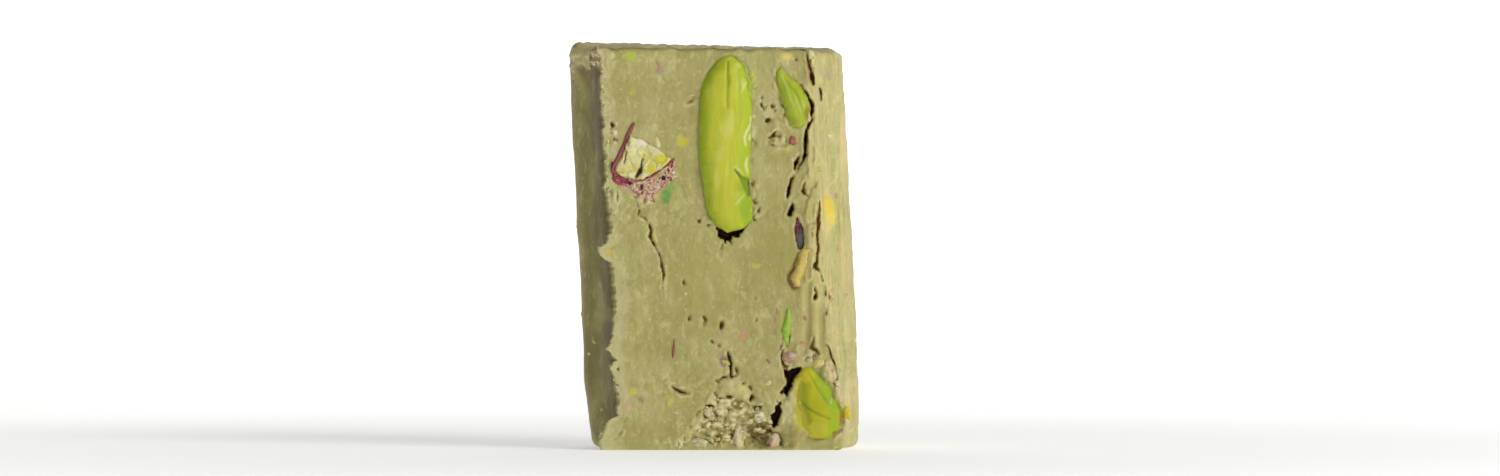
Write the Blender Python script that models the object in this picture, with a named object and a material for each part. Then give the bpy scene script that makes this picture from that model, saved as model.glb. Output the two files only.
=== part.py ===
"""Half of a pressed pistachio truffle, cut lengthwise.

A bar of pistachio paste with a four-lobed section was cut in two down its length, and this
is one half of it. It stands on the end where the bar was chopped off. The cut face looks to
-Y, and the two lobes of the uncut side are behind it. Nuts sit in pockets in the cut face.

Metres, +Z up, +X to the right of the cut face, origin under the middle of the foot.
"""

import math
import random
from collections import namedtuple

import bmesh
import bpy
from mathutils import Vector, noise

MM = 0.001

# The bar. Its section is two lobes and the hollows that join them, from the die it is
# pressed through.
FACE_HEIGHT = 29.6 * MM
TOP_RISE = 0.8 * MM  # the top end climbs this far from the cut to the back
LEAN = 1.5 * MM  # the top end sits this far to the left of the foot
LOBE_RADIUS = 4.95 * MM
LOBE_SPACING = 10.5 * MM  # between the middles of the two lobes
LOBE_DEPTH = 7.25 * MM  # from the cut to the middles of the lobes
FLANK_HOLLOW = 2.1 * MM  # how deep the hollow is that the cut runs along
FOOT_HOLLOW = 1.0 * MM  # the right one is this shallow at the foot, round the lower kernel
FOOT_HOLLOW_HEIGHT = 11.0 * MM
BACK_HOLLOW = 2.9 * MM  # how deep the hollow between the two lobes is
TOP_EDGE = 0.9 * MM
FOOT_EDGE = 0.6 * MM
FOOT_TUCK = 0.3 * MM  # the sides draw in by this much over the last stretch to the foot
FOOT_TUCK_HEIGHT = 5.0 * MM
NUT_STANDS_OUT = 0.9 * MM
DEPTH = LOBE_DEPTH + LOBE_RADIUS
CUT_Y = (NUT_STANDS_OUT - DEPTH) / 2
GAP = 0.3 * MM  # between a nut and its pocket

# How finely the bar is divided.
FLANK_STEPS = 4
LOBE_STEPS = 14
BACK_STEPS = 3
FRONT_STEPS = 14
EDGE_STEPS = 3
SIDE_STEPS = 18
TOP_RINGS = (0.66, 0.33)

# The cut face: its own unevenness, its crumbled left edge and the smears that hang over it.
FACE_RELIEF = 0.12 * MM
FACE_RELIEF_SIZE = 3.2 * MM
EDGE_CRUMBLED = 0.3 * MM
Smear = namedtuple("Smear", "height reach spread")
SMEARS = (
    Smear(14.9 * MM, 1.0 * MM, 1.0 * MM),
    Smear(19.3 * MM, 0.5 * MM, 0.5 * MM),
    Smear(7.4 * MM, 0.6 * MM, 0.6 * MM),
    Smear(5.0 * MM, 0.5 * MM, 0.7 * MM),
    Smear(1.4 * MM, 0.7 * MM, 1.1 * MM),
    Smear(28.4 * MM, 0.4 * MM, 0.9 * MM),
)

# Nuts: x and z are the middle of the nut on the cut face, tilt turns its top to the left, bow
# bends its middle sideways, tip and foot say how blunt its ends are, and out is how far it
# stands out of the face.
Nut = namedtuple("Nut", "x z length width depth tilt bow tip foot out furrow rings sides")
KERNEL_WHOLE = Nut(
    x=1.19 * MM, z=22.45 * MM, length=13.1 * MM, width=3.85 * MM, depth=3.4 * MM,
    tilt=math.radians(0.8), bow=-0.45 * MM, tip=2.5, foot=4.4, out=NUT_STANDS_OUT,
    furrow=0.05, rings=18, sides=20,
)
KERNEL_UPPER = Nut(
    x=5.63 * MM, z=26.05 * MM, length=5.3 * MM, width=1.5 * MM, depth=1.5 * MM,
    tilt=math.radians(23.0), bow=0.2 * MM, tip=1.6, foot=2.4, out=0.4 * MM,
    furrow=0.0, rings=10, sides=12,
)
KERNEL_LOWER = Nut(
    x=7.42 * MM, z=3.5 * MM, length=5.5 * MM, width=3.2 * MM, depth=2.8 * MM,
    tilt=math.radians(15.0), bow=0.1 * MM, tip=2.2, foot=3.0, out=0.75 * MM,
    furrow=0.06, rings=12, sides=18,
)

# The broken nut at the left: its outline on the cut face, clockwise from the upper left.
CORE_OUTLINE = (
    (-6.05, 22.65), (-5.1, 22.95), (-4.2, 22.4), (-3.2, 21.8),
    (-3.64, 20.96), (-4.6, 20.3), (-5.48, 20.0), (-7.0, 20.65), (-6.85, 21.3),
)
CORE_OUT = 0.45 * MM
CORE_DEPTH = 1.9 * MM
CORE_CHIPPED = 0.09 * MM  # how unevenly its broken edge runs between those points

# Its skin: a thin strip up the left side that widens into crumbs below the nut.
# Each point is x, z and half the width there, in millimetres.
SKIN_PATH = (
    (-5.85, 24.0, 0.07), (-6.45, 23.1, 0.13), (-7.15, 22.1, 0.14), (-7.75, 21.0, 0.16),
    (-7.85, 20.2, 0.24), (-7.0, 19.5, 0.33), (-6.1, 19.1, 0.42), (-5.2, 18.95, 0.5),
    (-4.15, 19.45, 0.46), (-3.1, 20.3, 0.38), (-2.55, 21.0, 0.2),
)
SKIN_OUT = 0.25 * MM
SKIN_DEPTH = 1.5 * MM
SKIN_ROUGH = 0.14 * MM
SKIN_CRUMBLES = 0.3  # share by which its width varies where it is wider than a strip
SKIN_STRIP = 0.2 * MM

# Cracks: points down each one, as x, z and half the width in millimetres, and its depth.
Crack = namedtuple("Crack", "name depth path")
CRACKS = (
    Crack("beside_kernel", 2.2 * MM, (
        (5.95, 26.85, 0.05), (6.7, 26.0, 0.16), (7.1, 25.1, 0.26), (7.15, 24.4, 0.26),
        (6.85, 23.8, 0.26), (6.6, 23.1, 0.14), (6.5, 22.4, 0.18), (6.05, 21.5, 0.07),
    )),
    Crack("below_kernel", 1.6 * MM, (
        (5.95, 21.6, 0.05), (5.62, 20.5, 0.12), (5.42, 19.4, 0.14), (5.35, 18.5, 0.06),
    )),
    Crack("curl", 1.4 * MM, (
        (5.6, 18.4, 0.05), (5.45, 17.8, 0.22), (5.75, 17.0, 0.3), (6.2, 16.3, 0.26),
        (6.45, 15.5, 0.24), (6.43, 14.8, 0.06),
    )),
    Crack("top_right", 1.5 * MM, (
        (6.8, 29.2, 0.05), (6.9, 28.2, 0.12), (7.15, 27.3, 0.24), (7.3, 26.9, 0.2),
        (7.7, 26.6, 0.12), (7.8, 25.8, 0.05),
    )),
    Crack("right_upper", 1.5 * MM, (
        (7.4, 18.6, 0.05), (7.48, 17.0, 0.1), (7.5, 15.4, 0.14), (7.62, 14.5, 0.14),
        (7.35, 13.7, 0.26), (7.68, 12.8, 0.12), (8.1, 12.0, 0.1), (8.3, 11.2, 0.24),
        (8.45, 10.7, 0.12), (8.1, 10.1, 0.05),
    )),
    Crack("right_slit", 1.0 * MM, ((7.35, 12.1, 0.08), (7.25, 11.5, 0.16), (7.2, 10.9, 0.05))),
    Crack("under_whole", 1.2 * MM, (
        (1.2, 16.4, 0.3), (0.6, 15.5, 0.12), (0.35, 14.9, 0.1), (0.25, 14.1, 0.03),
    )),
    Crack("left_hairline", 0.8 * MM, (
        (-5.1, 18.4, 0.04), (-4.5, 16.9, 0.07), (-4.1, 15.6, 0.1), (-3.9, 14.4, 0.07),
        (-3.6, 12.3, 0.03),
    )),
    Crack("right_foot", 1.2 * MM, (
        (8.3, 7.4, 0.04), (8.6, 6.3, 0.14), (8.95, 5.3, 0.16), (9.25, 4.6, 0.05),
    )),
    Crack("purple_slit", 0.9 * MM, (
        (0.75, 7.3, 0.04), (1.0, 6.6, 0.26), (1.3, 5.9, 0.24), (1.45, 5.3, 0.05),
    )),
    Crack("crescent", 0.7 * MM, (
        (-3.0, 4.7, 0.04), (-2.6, 4.4, 0.13), (-2.1, 4.25, 0.11), (-1.8, 4.3, 0.03),
    )),
    Crack("triangle", 0.8 * MM, (
        (4.05, 23.6, 0.05), (4.2, 23.0, 0.22), (4.6, 22.65, 0.24), (5.3, 22.6, 0.1),
    )),
)

# Holes and the crumbly hollow at the foot: middle on the face and half sizes, in millimetres.
Hole = namedtuple("Hole", "name x z wide deep tall")
HOLES = (
    Hole("below_whole", 1.25, 16.35, 1.25, 1.5, 0.62),
    Hole("beside_lower", 5.6, 5.05, 0.62, 1.5, 1.05),
    Hole("below_left_of_lower", 4.5, 2.9, 0.42, 1.3, 1.1),
    Hole("hollow_middle", 2.3, 1.75, 2.3, 1.7, 1.3),
    Hole("hollow_upper", 1.6, 3.1, 1.9, 1.0, 1.1),
    Hole("hollow_right", 3.9, 1.7, 1.2, 1.5, 1.2),
    Hole("hollow_left", -0.1, 2.4, 1.1, 0.8, 1.0),
    Hole("pit_upper", 3.86, 24.3, 0.3, 0.6, 0.3),
    Hole("pit_small", 3.5, 25.5, 0.17, 0.4, 0.2),
    Hole("slit_a", -1.88, 9.4, 0.18, 0.5, 0.26),
    Hole("slit_b", -0.85, 9.6, 0.12, 0.5, 0.24),
    Hole("slit_c", 0.4, 9.2, 0.2, 0.5, 0.3),
)

# Crumbs and flakes of paste that are fused to it: middle and half sizes in millimetres, out
# from the cut face, and a turn in the plane of the face. A lower blunt makes a ball a slab.
Lump = namedtuple("Lump", "name x z out wide deep tall turn detail blunt")
LUMPS = (
    Lump("bump", 1.15, 4.25, -0.15, 0.95, 0.75, 0.8, 0.0, 2, 1.0),
    Lump("bump_left", 0.2, 3.7, -0.3, 0.6, 0.6, 0.55, 0.3, 1, 1.0),
    Lump("bump_right", 2.1, 3.9, -0.25, 0.55, 0.6, 0.6, 0.0, 1, 1.0),
    Lump("flap", -7.85, 14.9, -0.1, 0.75, 0.35, 1.15, 0.25, 2, 0.8),
    Lump("fringe_upper", -7.7, 7.3, -0.1, 0.5, 0.35, 0.55, 0.0, 1, 1.0),
    Lump("fringe_lower", -7.5, 5.0, -0.1, 0.5, 0.35, 0.75, 0.0, 1, 1.0),
    Lump("corner_blob", -7.4, 1.35, -0.15, 0.75, 0.55, 1.1, 0.0, 2, 0.8),
    Lump("tongue", 6.6, 13.6, 0.05, 0.42, 0.4, 1.6, -0.56, 2, 0.5),
    Lump("lath_left", 6.95, 16.6, 0.0, 0.34, 0.42, 1.7, -0.1, 2, 0.5),
    Lump("lath_right", 8.0, 16.6, 0.0, 0.34, 0.36, 2.5, -0.04, 2, 0.6),
    Lump("lath_upper", 7.1, 19.2, 0.0, 0.3, 0.35, 1.5, 0.14, 2, 0.6),
    Lump("pebble", 5.4, 6.85, 0.05, 0.42, 0.4, 0.38, 0.0, 1, 1.0),
    Lump("green_sliver", 5.2, 9.0, -0.02, 0.22, 0.3, 1.05, 0.0, 1, 1.0),
    Lump("yellow_bit", -2.35, 22.6, 0.0, 0.34, 0.25, 0.5, -0.3, 1, 1.0),
    Lump("white_nub", -8.0, 19.4, -0.1, 0.4, 0.3, 0.4, 0.0, 1, 1.0),
    Lump("smear_on_lower", 5.75, 2.55, 0.1, 0.42, 0.5, 1.0, 0.35, 1, 1.0),
)
# On the shoulder at the upper left, behind the cut: x, distance behind it, z and radius.
SHOULDER_CRUMBS = (
    (-9.9, 4.2, 28.75, 0.5), (-9.3, 3.1, 29.1, 0.48), (-8.8, 2.0, 29.0, 0.45),
    (-10.25, 5.4, 28.4, 0.42), (-8.5, 0.9, 28.7, 0.4),
)
HOLLOW_CRUMBS = 26
HOLLOW_LEFT = -0.9 * MM
HOLLOW_RIGHT = 4.35 * MM
HOLLOW_TOP = 3.7 * MM
HOLLOW_DEPTH = 1.25 * MM
CRUMB_SIZES = (0.26 * MM, 0.5 * MM)

SEED = 5
LUMP_SEED = 20
SHOULDER_SEED = 60
CRUMB_SEED = 80


def clear_scene():
    for obj in list(bpy.data.objects):
        bpy.data.objects.remove(obj, do_unlink=True)


def linear(red, green, blue):
    """A colour as the eye sees it, 0 to 255, in the linear light that a shader takes."""
    shares = (red / 255, green / 255, blue / 255)
    return tuple(s / 12.92 if s <= 0.04045 else ((s + 0.055) / 1.055) ** 2.4 for s in shares)


def food_material(name, colour, roughness):
    material = bpy.data.materials.new(name)
    material.use_nodes = True
    shader = material.node_tree.nodes["Principled BSDF"]
    shader.inputs["Base Color"].default_value = (*colour, 1.0)
    shader.inputs["Roughness"].default_value = roughness
    shader.inputs["Metallic"].default_value = 0.0
    material.diffuse_color = (*colour, 1.0)
    return material


def object_from(name, mesh_edit, collection=None):
    """A new object from a bmesh, which is freed."""
    bmesh.ops.recalc_face_normals(mesh_edit, faces=mesh_edit.faces)
    mesh = bpy.data.meshes.new(name)
    mesh_edit.to_mesh(mesh)
    mesh_edit.free()
    obj = bpy.data.objects.new(name, mesh)
    (collection or bpy.context.scene.collection).objects.link(obj)
    return obj


def finish(obj, material, sharp_angle):
    """Gives an object its one material and shades it smooth up to an angle."""
    obj.data.materials.clear()
    obj.data.materials.append(material)
    obj.data.shade_smooth()
    obj.data.set_sharp_from_angle(angle=sharp_angle)


def skin_rings(mesh_edit, rings):
    """Faces between rings of vertices with equal counts, each ring closed."""
    for lower, upper in zip(rings, rings[1:]):
        count = len(lower)
        for i in range(count):
            after = (i + 1) % count
            mesh_edit.faces.new((lower[i], lower[after], upper[after], upper[i]))


def close_to_point(mesh_edit, ring, point):
    """Triangles from a ring to one point."""
    tip = mesh_edit.verts.new(point)
    for i, vertex in enumerate(ring):
        mesh_edit.faces.new((vertex, ring[(i + 1) % len(ring)], tip))


def uneven(point, size, amount, seed):
    """Smooth noise of the given size in space, between -amount and amount."""
    return amount * noise.noise(Vector(point) / size + Vector((seed, 0.0, 0.0)))


# The bar of paste


def hollow_between(half_spacing, hollow):
    """The circle that joins two lobes: its radius, and how far it is from their centre line."""
    reach = (half_spacing**2 + hollow**2) / (2 * hollow)
    return reach - LOBE_RADIUS, reach - hollow


def arc(centre, radius, start, end, steps):
    """Points along an arc, without its last one."""
    turns = [start + (end - start) * i / steps for i in range(steps)]
    return [(centre[0] + radius * math.cos(a), centre[1] + radius * math.sin(a)) for a in turns]


def right_half_outline(inset, flank_hollow):
    """The section from the right corner of the cut round to the middle of the back.

    Distances are from the middle of the cut. inset draws the whole outline in, but leaves the
    cut where it is.
    """
    half_spacing = LOBE_SPACING / 2
    flank_radius, flank_out = hollow_between(LOBE_DEPTH, flank_hollow)
    back_radius, back_out = hollow_between(half_spacing, BACK_HOLLOW)
    flank_turn = math.atan2(LOBE_DEPTH, flank_out)
    back_turn = math.atan2(back_out, half_spacing)
    flank_middle = (half_spacing + flank_out, 0.0)
    lobe_middle = (half_spacing, LOBE_DEPTH)
    back_middle = (0.0, LOBE_DEPTH + back_out)
    points = arc(flank_middle, flank_radius + inset, math.pi, math.pi - flank_turn, FLANK_STEPS)
    points += arc(
        lobe_middle, LOBE_RADIUS - inset, -flank_turn, math.pi - back_turn, LOBE_STEPS
    )
    points += arc(back_middle, back_radius + inset, -back_turn, -math.pi / 2, BACK_STEPS)
    points.append((0.0, LOBE_DEPTH + back_out - back_radius - inset))
    return points


def smear_reach(height):
    """How far the paste hangs over the left edge of the cut at a height."""
    return sum(s.reach * math.exp(-(((height - s.height) / s.spread) ** 2)) for s in SMEARS)


def right_hollow(height):
    """The depth of the hollow in the right flank, which fills out towards the foot."""
    share = min(height / FOOT_HOLLOW_HEIGHT, 1.0)
    return FOOT_HOLLOW + (FLANK_HOLLOW - FOOT_HOLLOW) * share * share * (3 - 2 * share)


def middle_x(height):
    """The bar leans, so the middle of its section moves to the left with height."""
    return LEAN * (0.5 - height / FACE_HEIGHT)


def bar_ring(height, inset):
    """One closed ring of points round the bar, anticlockwise from above."""
    right = right_half_outline(inset, right_hollow(height))
    left = [(-x, y) for x, y in reversed(right_half_outline(inset, FLANK_HOLLOW)[:-1])]
    corner_out = EDGE_CRUMBLED - smear_reach(height)
    left[-1] = (left[-1][0] + corner_out, 0.0)
    outline = right + left
    start, end = left[-1][0], right[0][0]
    for i in range(1, FRONT_STEPS):
        outline.append((start + (end - start) * i / FRONT_STEPS, 0.0))
    front = len(right) + len(left)
    share = height / FACE_HEIGHT
    ring = []
    for i, (x, y) in enumerate(outline):
        point = Vector((x + middle_x(height), CUT_Y + y, height))
        point.z += TOP_RISE * share**8 * min(y / LOBE_DEPTH, 1.0)
        if i >= front and FOOT_EDGE < height < FACE_HEIGHT:
            point.y += uneven(point, FACE_RELIEF_SIZE, FACE_RELIEF, SEED)
        ring.append(point)
    return ring


def ring_places():
    """Height and inset of each ring, from the foot to the top."""
    places = []
    for i in range(EDGE_STEPS + 1):
        turn = math.pi / 2 * i / EDGE_STEPS
        places.append((FOOT_EDGE * (1 - math.cos(turn)), FOOT_EDGE * (1 - math.sin(turn))))
    straight = FACE_HEIGHT - FOOT_EDGE - TOP_EDGE
    places += [(FOOT_EDGE + straight * i / SIDE_STEPS, 0.0) for i in range(1, SIDE_STEPS)]
    for i in range(EDGE_STEPS + 1):
        turn = math.pi / 2 * i / EDGE_STEPS
        height = FACE_HEIGHT - TOP_EDGE * (1 - math.sin(turn))
        places.append((height, TOP_EDGE * (1 - math.cos(turn))))
    tucked = []
    for height, inset in places:
        share = max(0.0, 1 - height / FOOT_TUCK_HEIGHT)
        tucked.append((height, inset + FOOT_TUCK * share**2))
    return tucked


def bar_of_paste():
    """The half bar before anything is cut from it."""
    mesh_edit = bmesh.new()
    rings = [
        [mesh_edit.verts.new(point) for point in bar_ring(height, inset)]
        for height, inset in ring_places()
    ]
    mesh_edit.faces.new(list(reversed(rings[0])))
    middle_y = LOBE_DEPTH * 0.6
    middle = Vector((middle_x(FACE_HEIGHT), CUT_Y + middle_y, FACE_HEIGHT + TOP_RISE * 0.6))
    edge = rings[-1]
    for share in TOP_RINGS:
        rings.append([mesh_edit.verts.new(middle.lerp(vertex.co, share)) for vertex in edge])
    skin_rings(mesh_edit, rings)
    close_to_point(mesh_edit, rings[-1], middle)
    return object_from("truffle_paste", mesh_edit)


# Nuts


def nut_half_width(nut, along):
    """Share of the nut's half width at a place along it, from -1 at its tip to 1 at its foot."""
    blunt = nut.tip if along < 0 else nut.foot
    return math.sqrt(max(0.0, 1 - abs(along) ** blunt))


def nut_object(name, nut, grow=0.0, collection=None):
    """A nut as ellipses strung on its bowed axis. grow makes all of it larger, for a pocket."""
    mesh_edit = bmesh.new()
    down = Vector((math.sin(nut.tilt), 0.0, -math.cos(nut.tilt)))
    across = Vector((math.cos(nut.tilt), 0.0, math.sin(nut.tilt)))
    inward = Vector((0.0, 1.0, 0.0))
    middle = Vector((nut.x, CUT_Y - nut.out + nut.depth / 2, nut.z))
    half_length = nut.length / 2 + grow
    rings = []
    for i in range(1, nut.rings):
        along = -math.cos(math.pi * i / nut.rings)
        share = nut_half_width(nut, along)
        centre = middle + down * half_length * along + across * nut.bow * (1 - along**2)
        ring = []
        for j in range(nut.sides):
            turn = 2 * math.pi * j / nut.sides
            furrow = 1 - nut.furrow * math.exp(-(((turn - 1.62 * math.pi) / 0.3) ** 2))
            wide = (nut.width / 2 * furrow + grow) * share
            deep = (nut.depth / 2 * furrow + grow) * share**0.8
            ring.append(
                mesh_edit.verts.new(
                    centre + across * wide * math.cos(turn) + inward * deep * math.sin(turn)
                )
            )
        rings.append(ring)
    skin_rings(mesh_edit, rings)
    close_to_point(mesh_edit, rings[0], middle - down * half_length)
    close_to_point(mesh_edit, rings[-1], middle + down * half_length)
    return object_from(name, mesh_edit, collection)


def core_object(name, grow=0.0, collection=None):
    """The broken nut: its outline, with a split front that stands out and a narrower back."""
    draw = random.Random(SEED)
    mesh_edit = bmesh.new()
    given = [Vector((x * MM, 0.0, z * MM)) for x, z in CORE_OUTLINE]
    middle = sum(given, Vector()) / len(given)
    corners = []
    for corner, after in zip(given, given[1:] + given[:1]):
        between = (corner + after) / 2
        chip = (between - middle).normalized() * CORE_CHIPPED * draw.uniform(-1.4, 0.2)
        corners += [corner, between + chip]
    front = CUT_Y - CORE_OUT - grow
    back = CUT_Y + CORE_DEPTH + grow
    # Each layer: the share of the outline it keeps, its place in depth, and its unevenness.
    layers = (
        (0.45, front, 0.12 * MM),
        (0.86, front + 0.12 * MM, 0.08 * MM),
        (1.0, front + 0.4 * MM, 0.0),
        (1.0, CUT_Y + 0.5 * MM, 0.0),
        (0.72, back, 0.0),
    )
    rings = []
    for share, y, rough in layers:
        ring = []
        for corner in corners:
            out = (corner - middle).normalized() * grow
            place = middle.lerp(corner, share) + out
            place.y = y + draw.uniform(0, rough) * (grow == 0)
            ring.append(mesh_edit.verts.new(place))
        rings.append(ring)
    skin_rings(mesh_edit, rings)
    close_to_point(mesh_edit, rings[0], Vector((middle.x, front, middle.z)))
    close_to_point(mesh_edit, rings[-1], Vector((middle.x, back, middle.z)))
    return object_from(name, mesh_edit, collection)


def skin_object(name, grow=0.0, collection=None):
    """The nut's skin as a ribbon on edge that follows its path across the face."""
    draw = random.Random(SEED + 1)
    mesh_edit = bmesh.new()
    given = [Vector((x * MM, half * MM, z * MM)) for x, z, half in SKIN_PATH]
    path = [given[0]]
    for before, after in zip(given, given[1:]):
        path += [(before + after) / 2, after]
    halves = [place.y for place in path]
    path = [Vector((place.x, 0.0, place.z)) for place in path]
    rings = []
    for i, place in enumerate(path):
        along = (path[min(i + 1, len(path) - 1)] - path[max(i - 1, 0)]).normalized()
        side = Vector((-along.z, 0.0, along.x))
        crumbly = (grow == 0) * (halves[i] > SKIN_STRIP)
        half = halves[i] * (1 - crumbly * draw.uniform(0, SKIN_CRUMBLES)) + grow
        if i in (0, len(path) - 1):
            place = place + along * grow * (1 if i else -1)
        front = CUT_Y - SKIN_OUT - grow + crumbly * draw.uniform(0, SKIN_ROUGH)
        back = CUT_Y + SKIN_DEPTH + grow
        # Across and in depth, round the section.
        section = (
            (-0.6, front), (0.6, front), (1.0, front + 0.2 * MM),
            (0.8, back), (-0.8, back), (-1.0, front + 0.2 * MM),
        )
        rings.append(
            [mesh_edit.verts.new(place + side * half * s + Vector((0, y, 0))) for s, y in section]
        )
    skin_rings(mesh_edit, rings)
    mesh_edit.faces.new(rings[0])
    mesh_edit.faces.new(rings[-1])
    return object_from(name, mesh_edit, collection)


# What is cut from the paste, and what is fused to it


def crack_cutter(crack, collection):
    """A wedge that follows a crack: open at the face and closed to an edge at its depth."""
    mesh_edit = bmesh.new()
    above = 0.8 * MM
    path = [Vector((x * MM, 0.0, z * MM)) for x, z, half in crack.path]
    rings = []
    for i, place in enumerate(path):
        along = (path[min(i + 1, len(path) - 1)] - path[max(i - 1, 0)]).normalized()
        side = Vector((-along.z, 0.0, along.x))
        half = crack.path[i][2] * MM
        at_mouth = half * (1 + above / crack.depth)
        mouth = Vector((0.0, CUT_Y - above, 0.0))
        floor = Vector((0.0, CUT_Y + crack.depth, 0.0))
        rings.append(
            [
                mesh_edit.verts.new(place + mouth - side * at_mouth),
                mesh_edit.verts.new(place + mouth + side * at_mouth),
                mesh_edit.verts.new(place + floor + side * half * 0.12),
                mesh_edit.verts.new(place + floor - side * half * 0.12),
            ]
        )
    skin_rings(mesh_edit, rings)
    mesh_edit.faces.new(rings[0])
    mesh_edit.faces.new(rings[-1])
    return object_from("crack_" + crack.name, mesh_edit, collection)


def lumpy_ball(name, middle, radii, turn, detail, seed, collection, blunt=1.0):
    """An uneven ball of paste: an icosphere with noise, stretched and turned in the face."""
    mesh_edit = bmesh.new()
    bmesh.ops.create_icosphere(mesh_edit, subdivisions=detail, radius=1.0)
    cos_turn, sin_turn = math.cos(turn), math.sin(turn)
    for vertex in mesh_edit.verts:
        swell = 1 + uneven(vertex.co, 0.8, 0.28, seed)
        squared = [math.copysign(abs(part) ** blunt, part) for part in vertex.co]
        x, y, z = (squared[k] * radii[k] * swell for k in range(3))
        vertex.co = middle + Vector((x * cos_turn - z * sin_turn, y, x * sin_turn + z * cos_turn))
    return object_from(name, mesh_edit, collection)


def hole_cutter(hole, index, collection):
    middle = Vector((hole.x * MM, CUT_Y, hole.z * MM))
    radii = (hole.wide * MM, hole.deep * MM, hole.tall * MM)
    detail = 3 if hole.wide > 1.0 else 2
    return lumpy_ball("hole_" + hole.name, middle, radii, 0.0, detail, SEED + index, collection)


def fused_lumps(collection):
    """The crumbs, flakes and bits that stand out of the paste."""
    for i, lump in enumerate(LUMPS):
        middle = Vector((lump.x * MM, CUT_Y - lump.out * MM, lump.z * MM))
        radii = (lump.wide * MM, lump.deep * MM, lump.tall * MM)
        name = "lump_" + lump.name
        seed = LUMP_SEED + i
        lumpy_ball(name, middle, radii, lump.turn, lump.detail, seed, collection, lump.blunt)
    for i, (x, behind, z, radius) in enumerate(SHOULDER_CRUMBS):
        middle = Vector((x * MM, CUT_Y + behind * MM, z * MM))
        radii = (radius * MM,) * 3
        lumpy_ball(f"shoulder_{i}", middle, radii, 0.0, 1, SHOULDER_SEED + i, collection)


def hollow_crumbs(collection):
    """Loose crumbs on the floor of the hollow at the foot, the larger ones at its sides."""
    draw = random.Random(SEED + 2)
    centre_x = (HOLLOW_LEFT + HOLLOW_RIGHT) / 2
    half_wide = (HOLLOW_RIGHT - HOLLOW_LEFT) / 2
    for i in range(HOLLOW_CRUMBS):
        radius = draw.uniform(*CRUMB_SIZES)
        x = centre_x + half_wide * draw.uniform(-1, 1)
        z = draw.uniform(radius * 1.4, HOLLOW_TOP)
        off = ((x - centre_x) / half_wide) ** 2 + (2 * z / HOLLOW_TOP - 1) ** 2
        deep = HOLLOW_DEPTH * max(0.0, 1 - 0.6 * off)
        middle = Vector((x, CUT_Y + deep, z))
        radii = (radius, radius * draw.uniform(0.7, 1.0), radius * draw.uniform(0.7, 1.0))
        turn = draw.uniform(0, math.pi)
        lumpy_ball(f"crumb_{i}", middle, radii, turn, 1, CRUMB_SEED + i, collection)


def apply_boolean(obj, collection, operation):
    """Applies one Boolean with a whole collection, and removes the collection's objects."""
    modifier = obj.modifiers.new(operation.title(), "BOOLEAN")
    modifier.operation = operation
    modifier.operand_type = "COLLECTION"
    modifier.collection = collection
    modifier.solver = "EXACT"
    bpy.context.view_layer.update()
    graph = bpy.context.evaluated_depsgraph_get()
    result = bpy.data.meshes.new_from_object(obj.evaluated_get(graph))
    obj.modifiers.clear()
    before = obj.data
    obj.data = result
    bpy.data.meshes.remove(before)
    for helper in list(collection.objects):
        bpy.data.objects.remove(helper, do_unlink=True)
    bpy.data.collections.remove(collection)


def drop_loose_scraps(obj):
    """Keeps the largest body of a mesh and deletes what a cut has set loose."""
    mesh_edit = bmesh.new()
    mesh_edit.from_mesh(obj.data)
    unseen = set(mesh_edit.verts)
    bodies = []
    while unseen:
        edge_of_search = [unseen.pop()]
        body = list(edge_of_search)
        while edge_of_search:
            vertex = edge_of_search.pop()
            for edge in vertex.link_edges:
                other = edge.other_vert(vertex)
                if other in unseen:
                    unseen.remove(other)
                    edge_of_search.append(other)
                    body.append(other)
        bodies.append(body)
    bodies.sort(key=len, reverse=True)
    loose = [vertex for body in bodies[1:] for vertex in body]
    bmesh.ops.delete(mesh_edit, geom=loose, context="VERTS")
    bmesh.ops.triangulate(mesh_edit, faces=mesh_edit.faces)
    mesh_edit.to_mesh(obj.data)
    mesh_edit.free()


def helper_collection(name):
    collection = bpy.data.collections.new(name)
    bpy.context.scene.collection.children.link(collection)
    return collection


def truffle_paste():
    """The paste with its pockets, cracks, holes and crumbs."""
    paste = bar_of_paste()
    cuts = helper_collection("cuts")
    nut_object("pocket_whole", KERNEL_WHOLE, GAP, cuts)
    nut_object("pocket_upper", KERNEL_UPPER, GAP, cuts)
    nut_object("pocket_lower", KERNEL_LOWER, GAP, cuts)
    core_object("pocket_core", GAP, cuts)
    skin_object("pocket_skin", GAP, cuts)
    for crack in CRACKS:
        crack_cutter(crack, cuts)
    for i, hole in enumerate(HOLES):
        hole_cutter(hole, i, cuts)
    apply_boolean(paste, cuts, "DIFFERENCE")
    crumbs = helper_collection("crumbs")
    fused_lumps(crumbs)
    hollow_crumbs(crumbs)
    apply_boolean(paste, crumbs, "UNION")
    drop_loose_scraps(paste)
    return paste


def main():
    clear_scene()
    sharp = math.radians(40)
    paste = food_material("pistachio_paste", linear(190, 182, 117), 0.7)
    yellow_green = food_material("kernel_yellow_green", linear(205, 210, 72), 0.4)
    leaf_green = food_material("kernel_leaf_green", linear(176, 196, 60), 0.42)
    cream = food_material("nut_cream", linear(233, 223, 150), 0.5)
    skin = food_material("nut_skin", linear(140, 68, 78), 0.6)
    finish(truffle_paste(), paste, sharp)
    finish(nut_object("kernel_whole", KERNEL_WHOLE), yellow_green, sharp)
    finish(nut_object("kernel_upper", KERNEL_UPPER), leaf_green, sharp)
    finish(nut_object("kernel_lower", KERNEL_LOWER), yellow_green, sharp)
    finish(core_object("nut_core"), cream, sharp)
    finish(skin_object("nut_skin"), skin, sharp)


main()
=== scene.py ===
"""Half of a pressed pistachio truffle, cut lengthwise: its pieces, their finish and the stage.

The script has the layout of a Blender add-on and runs as a script too. The bar of paste is
drawn by Geometry Nodes from a section and an upright, and then worked over point by point.
Lists of places on the cut face are in millimetres: x to the right and z up, from the middle
of the foot. Y points into the truffle, and depths are measured from the cut.
"""

import math
from collections import namedtuple

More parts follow.
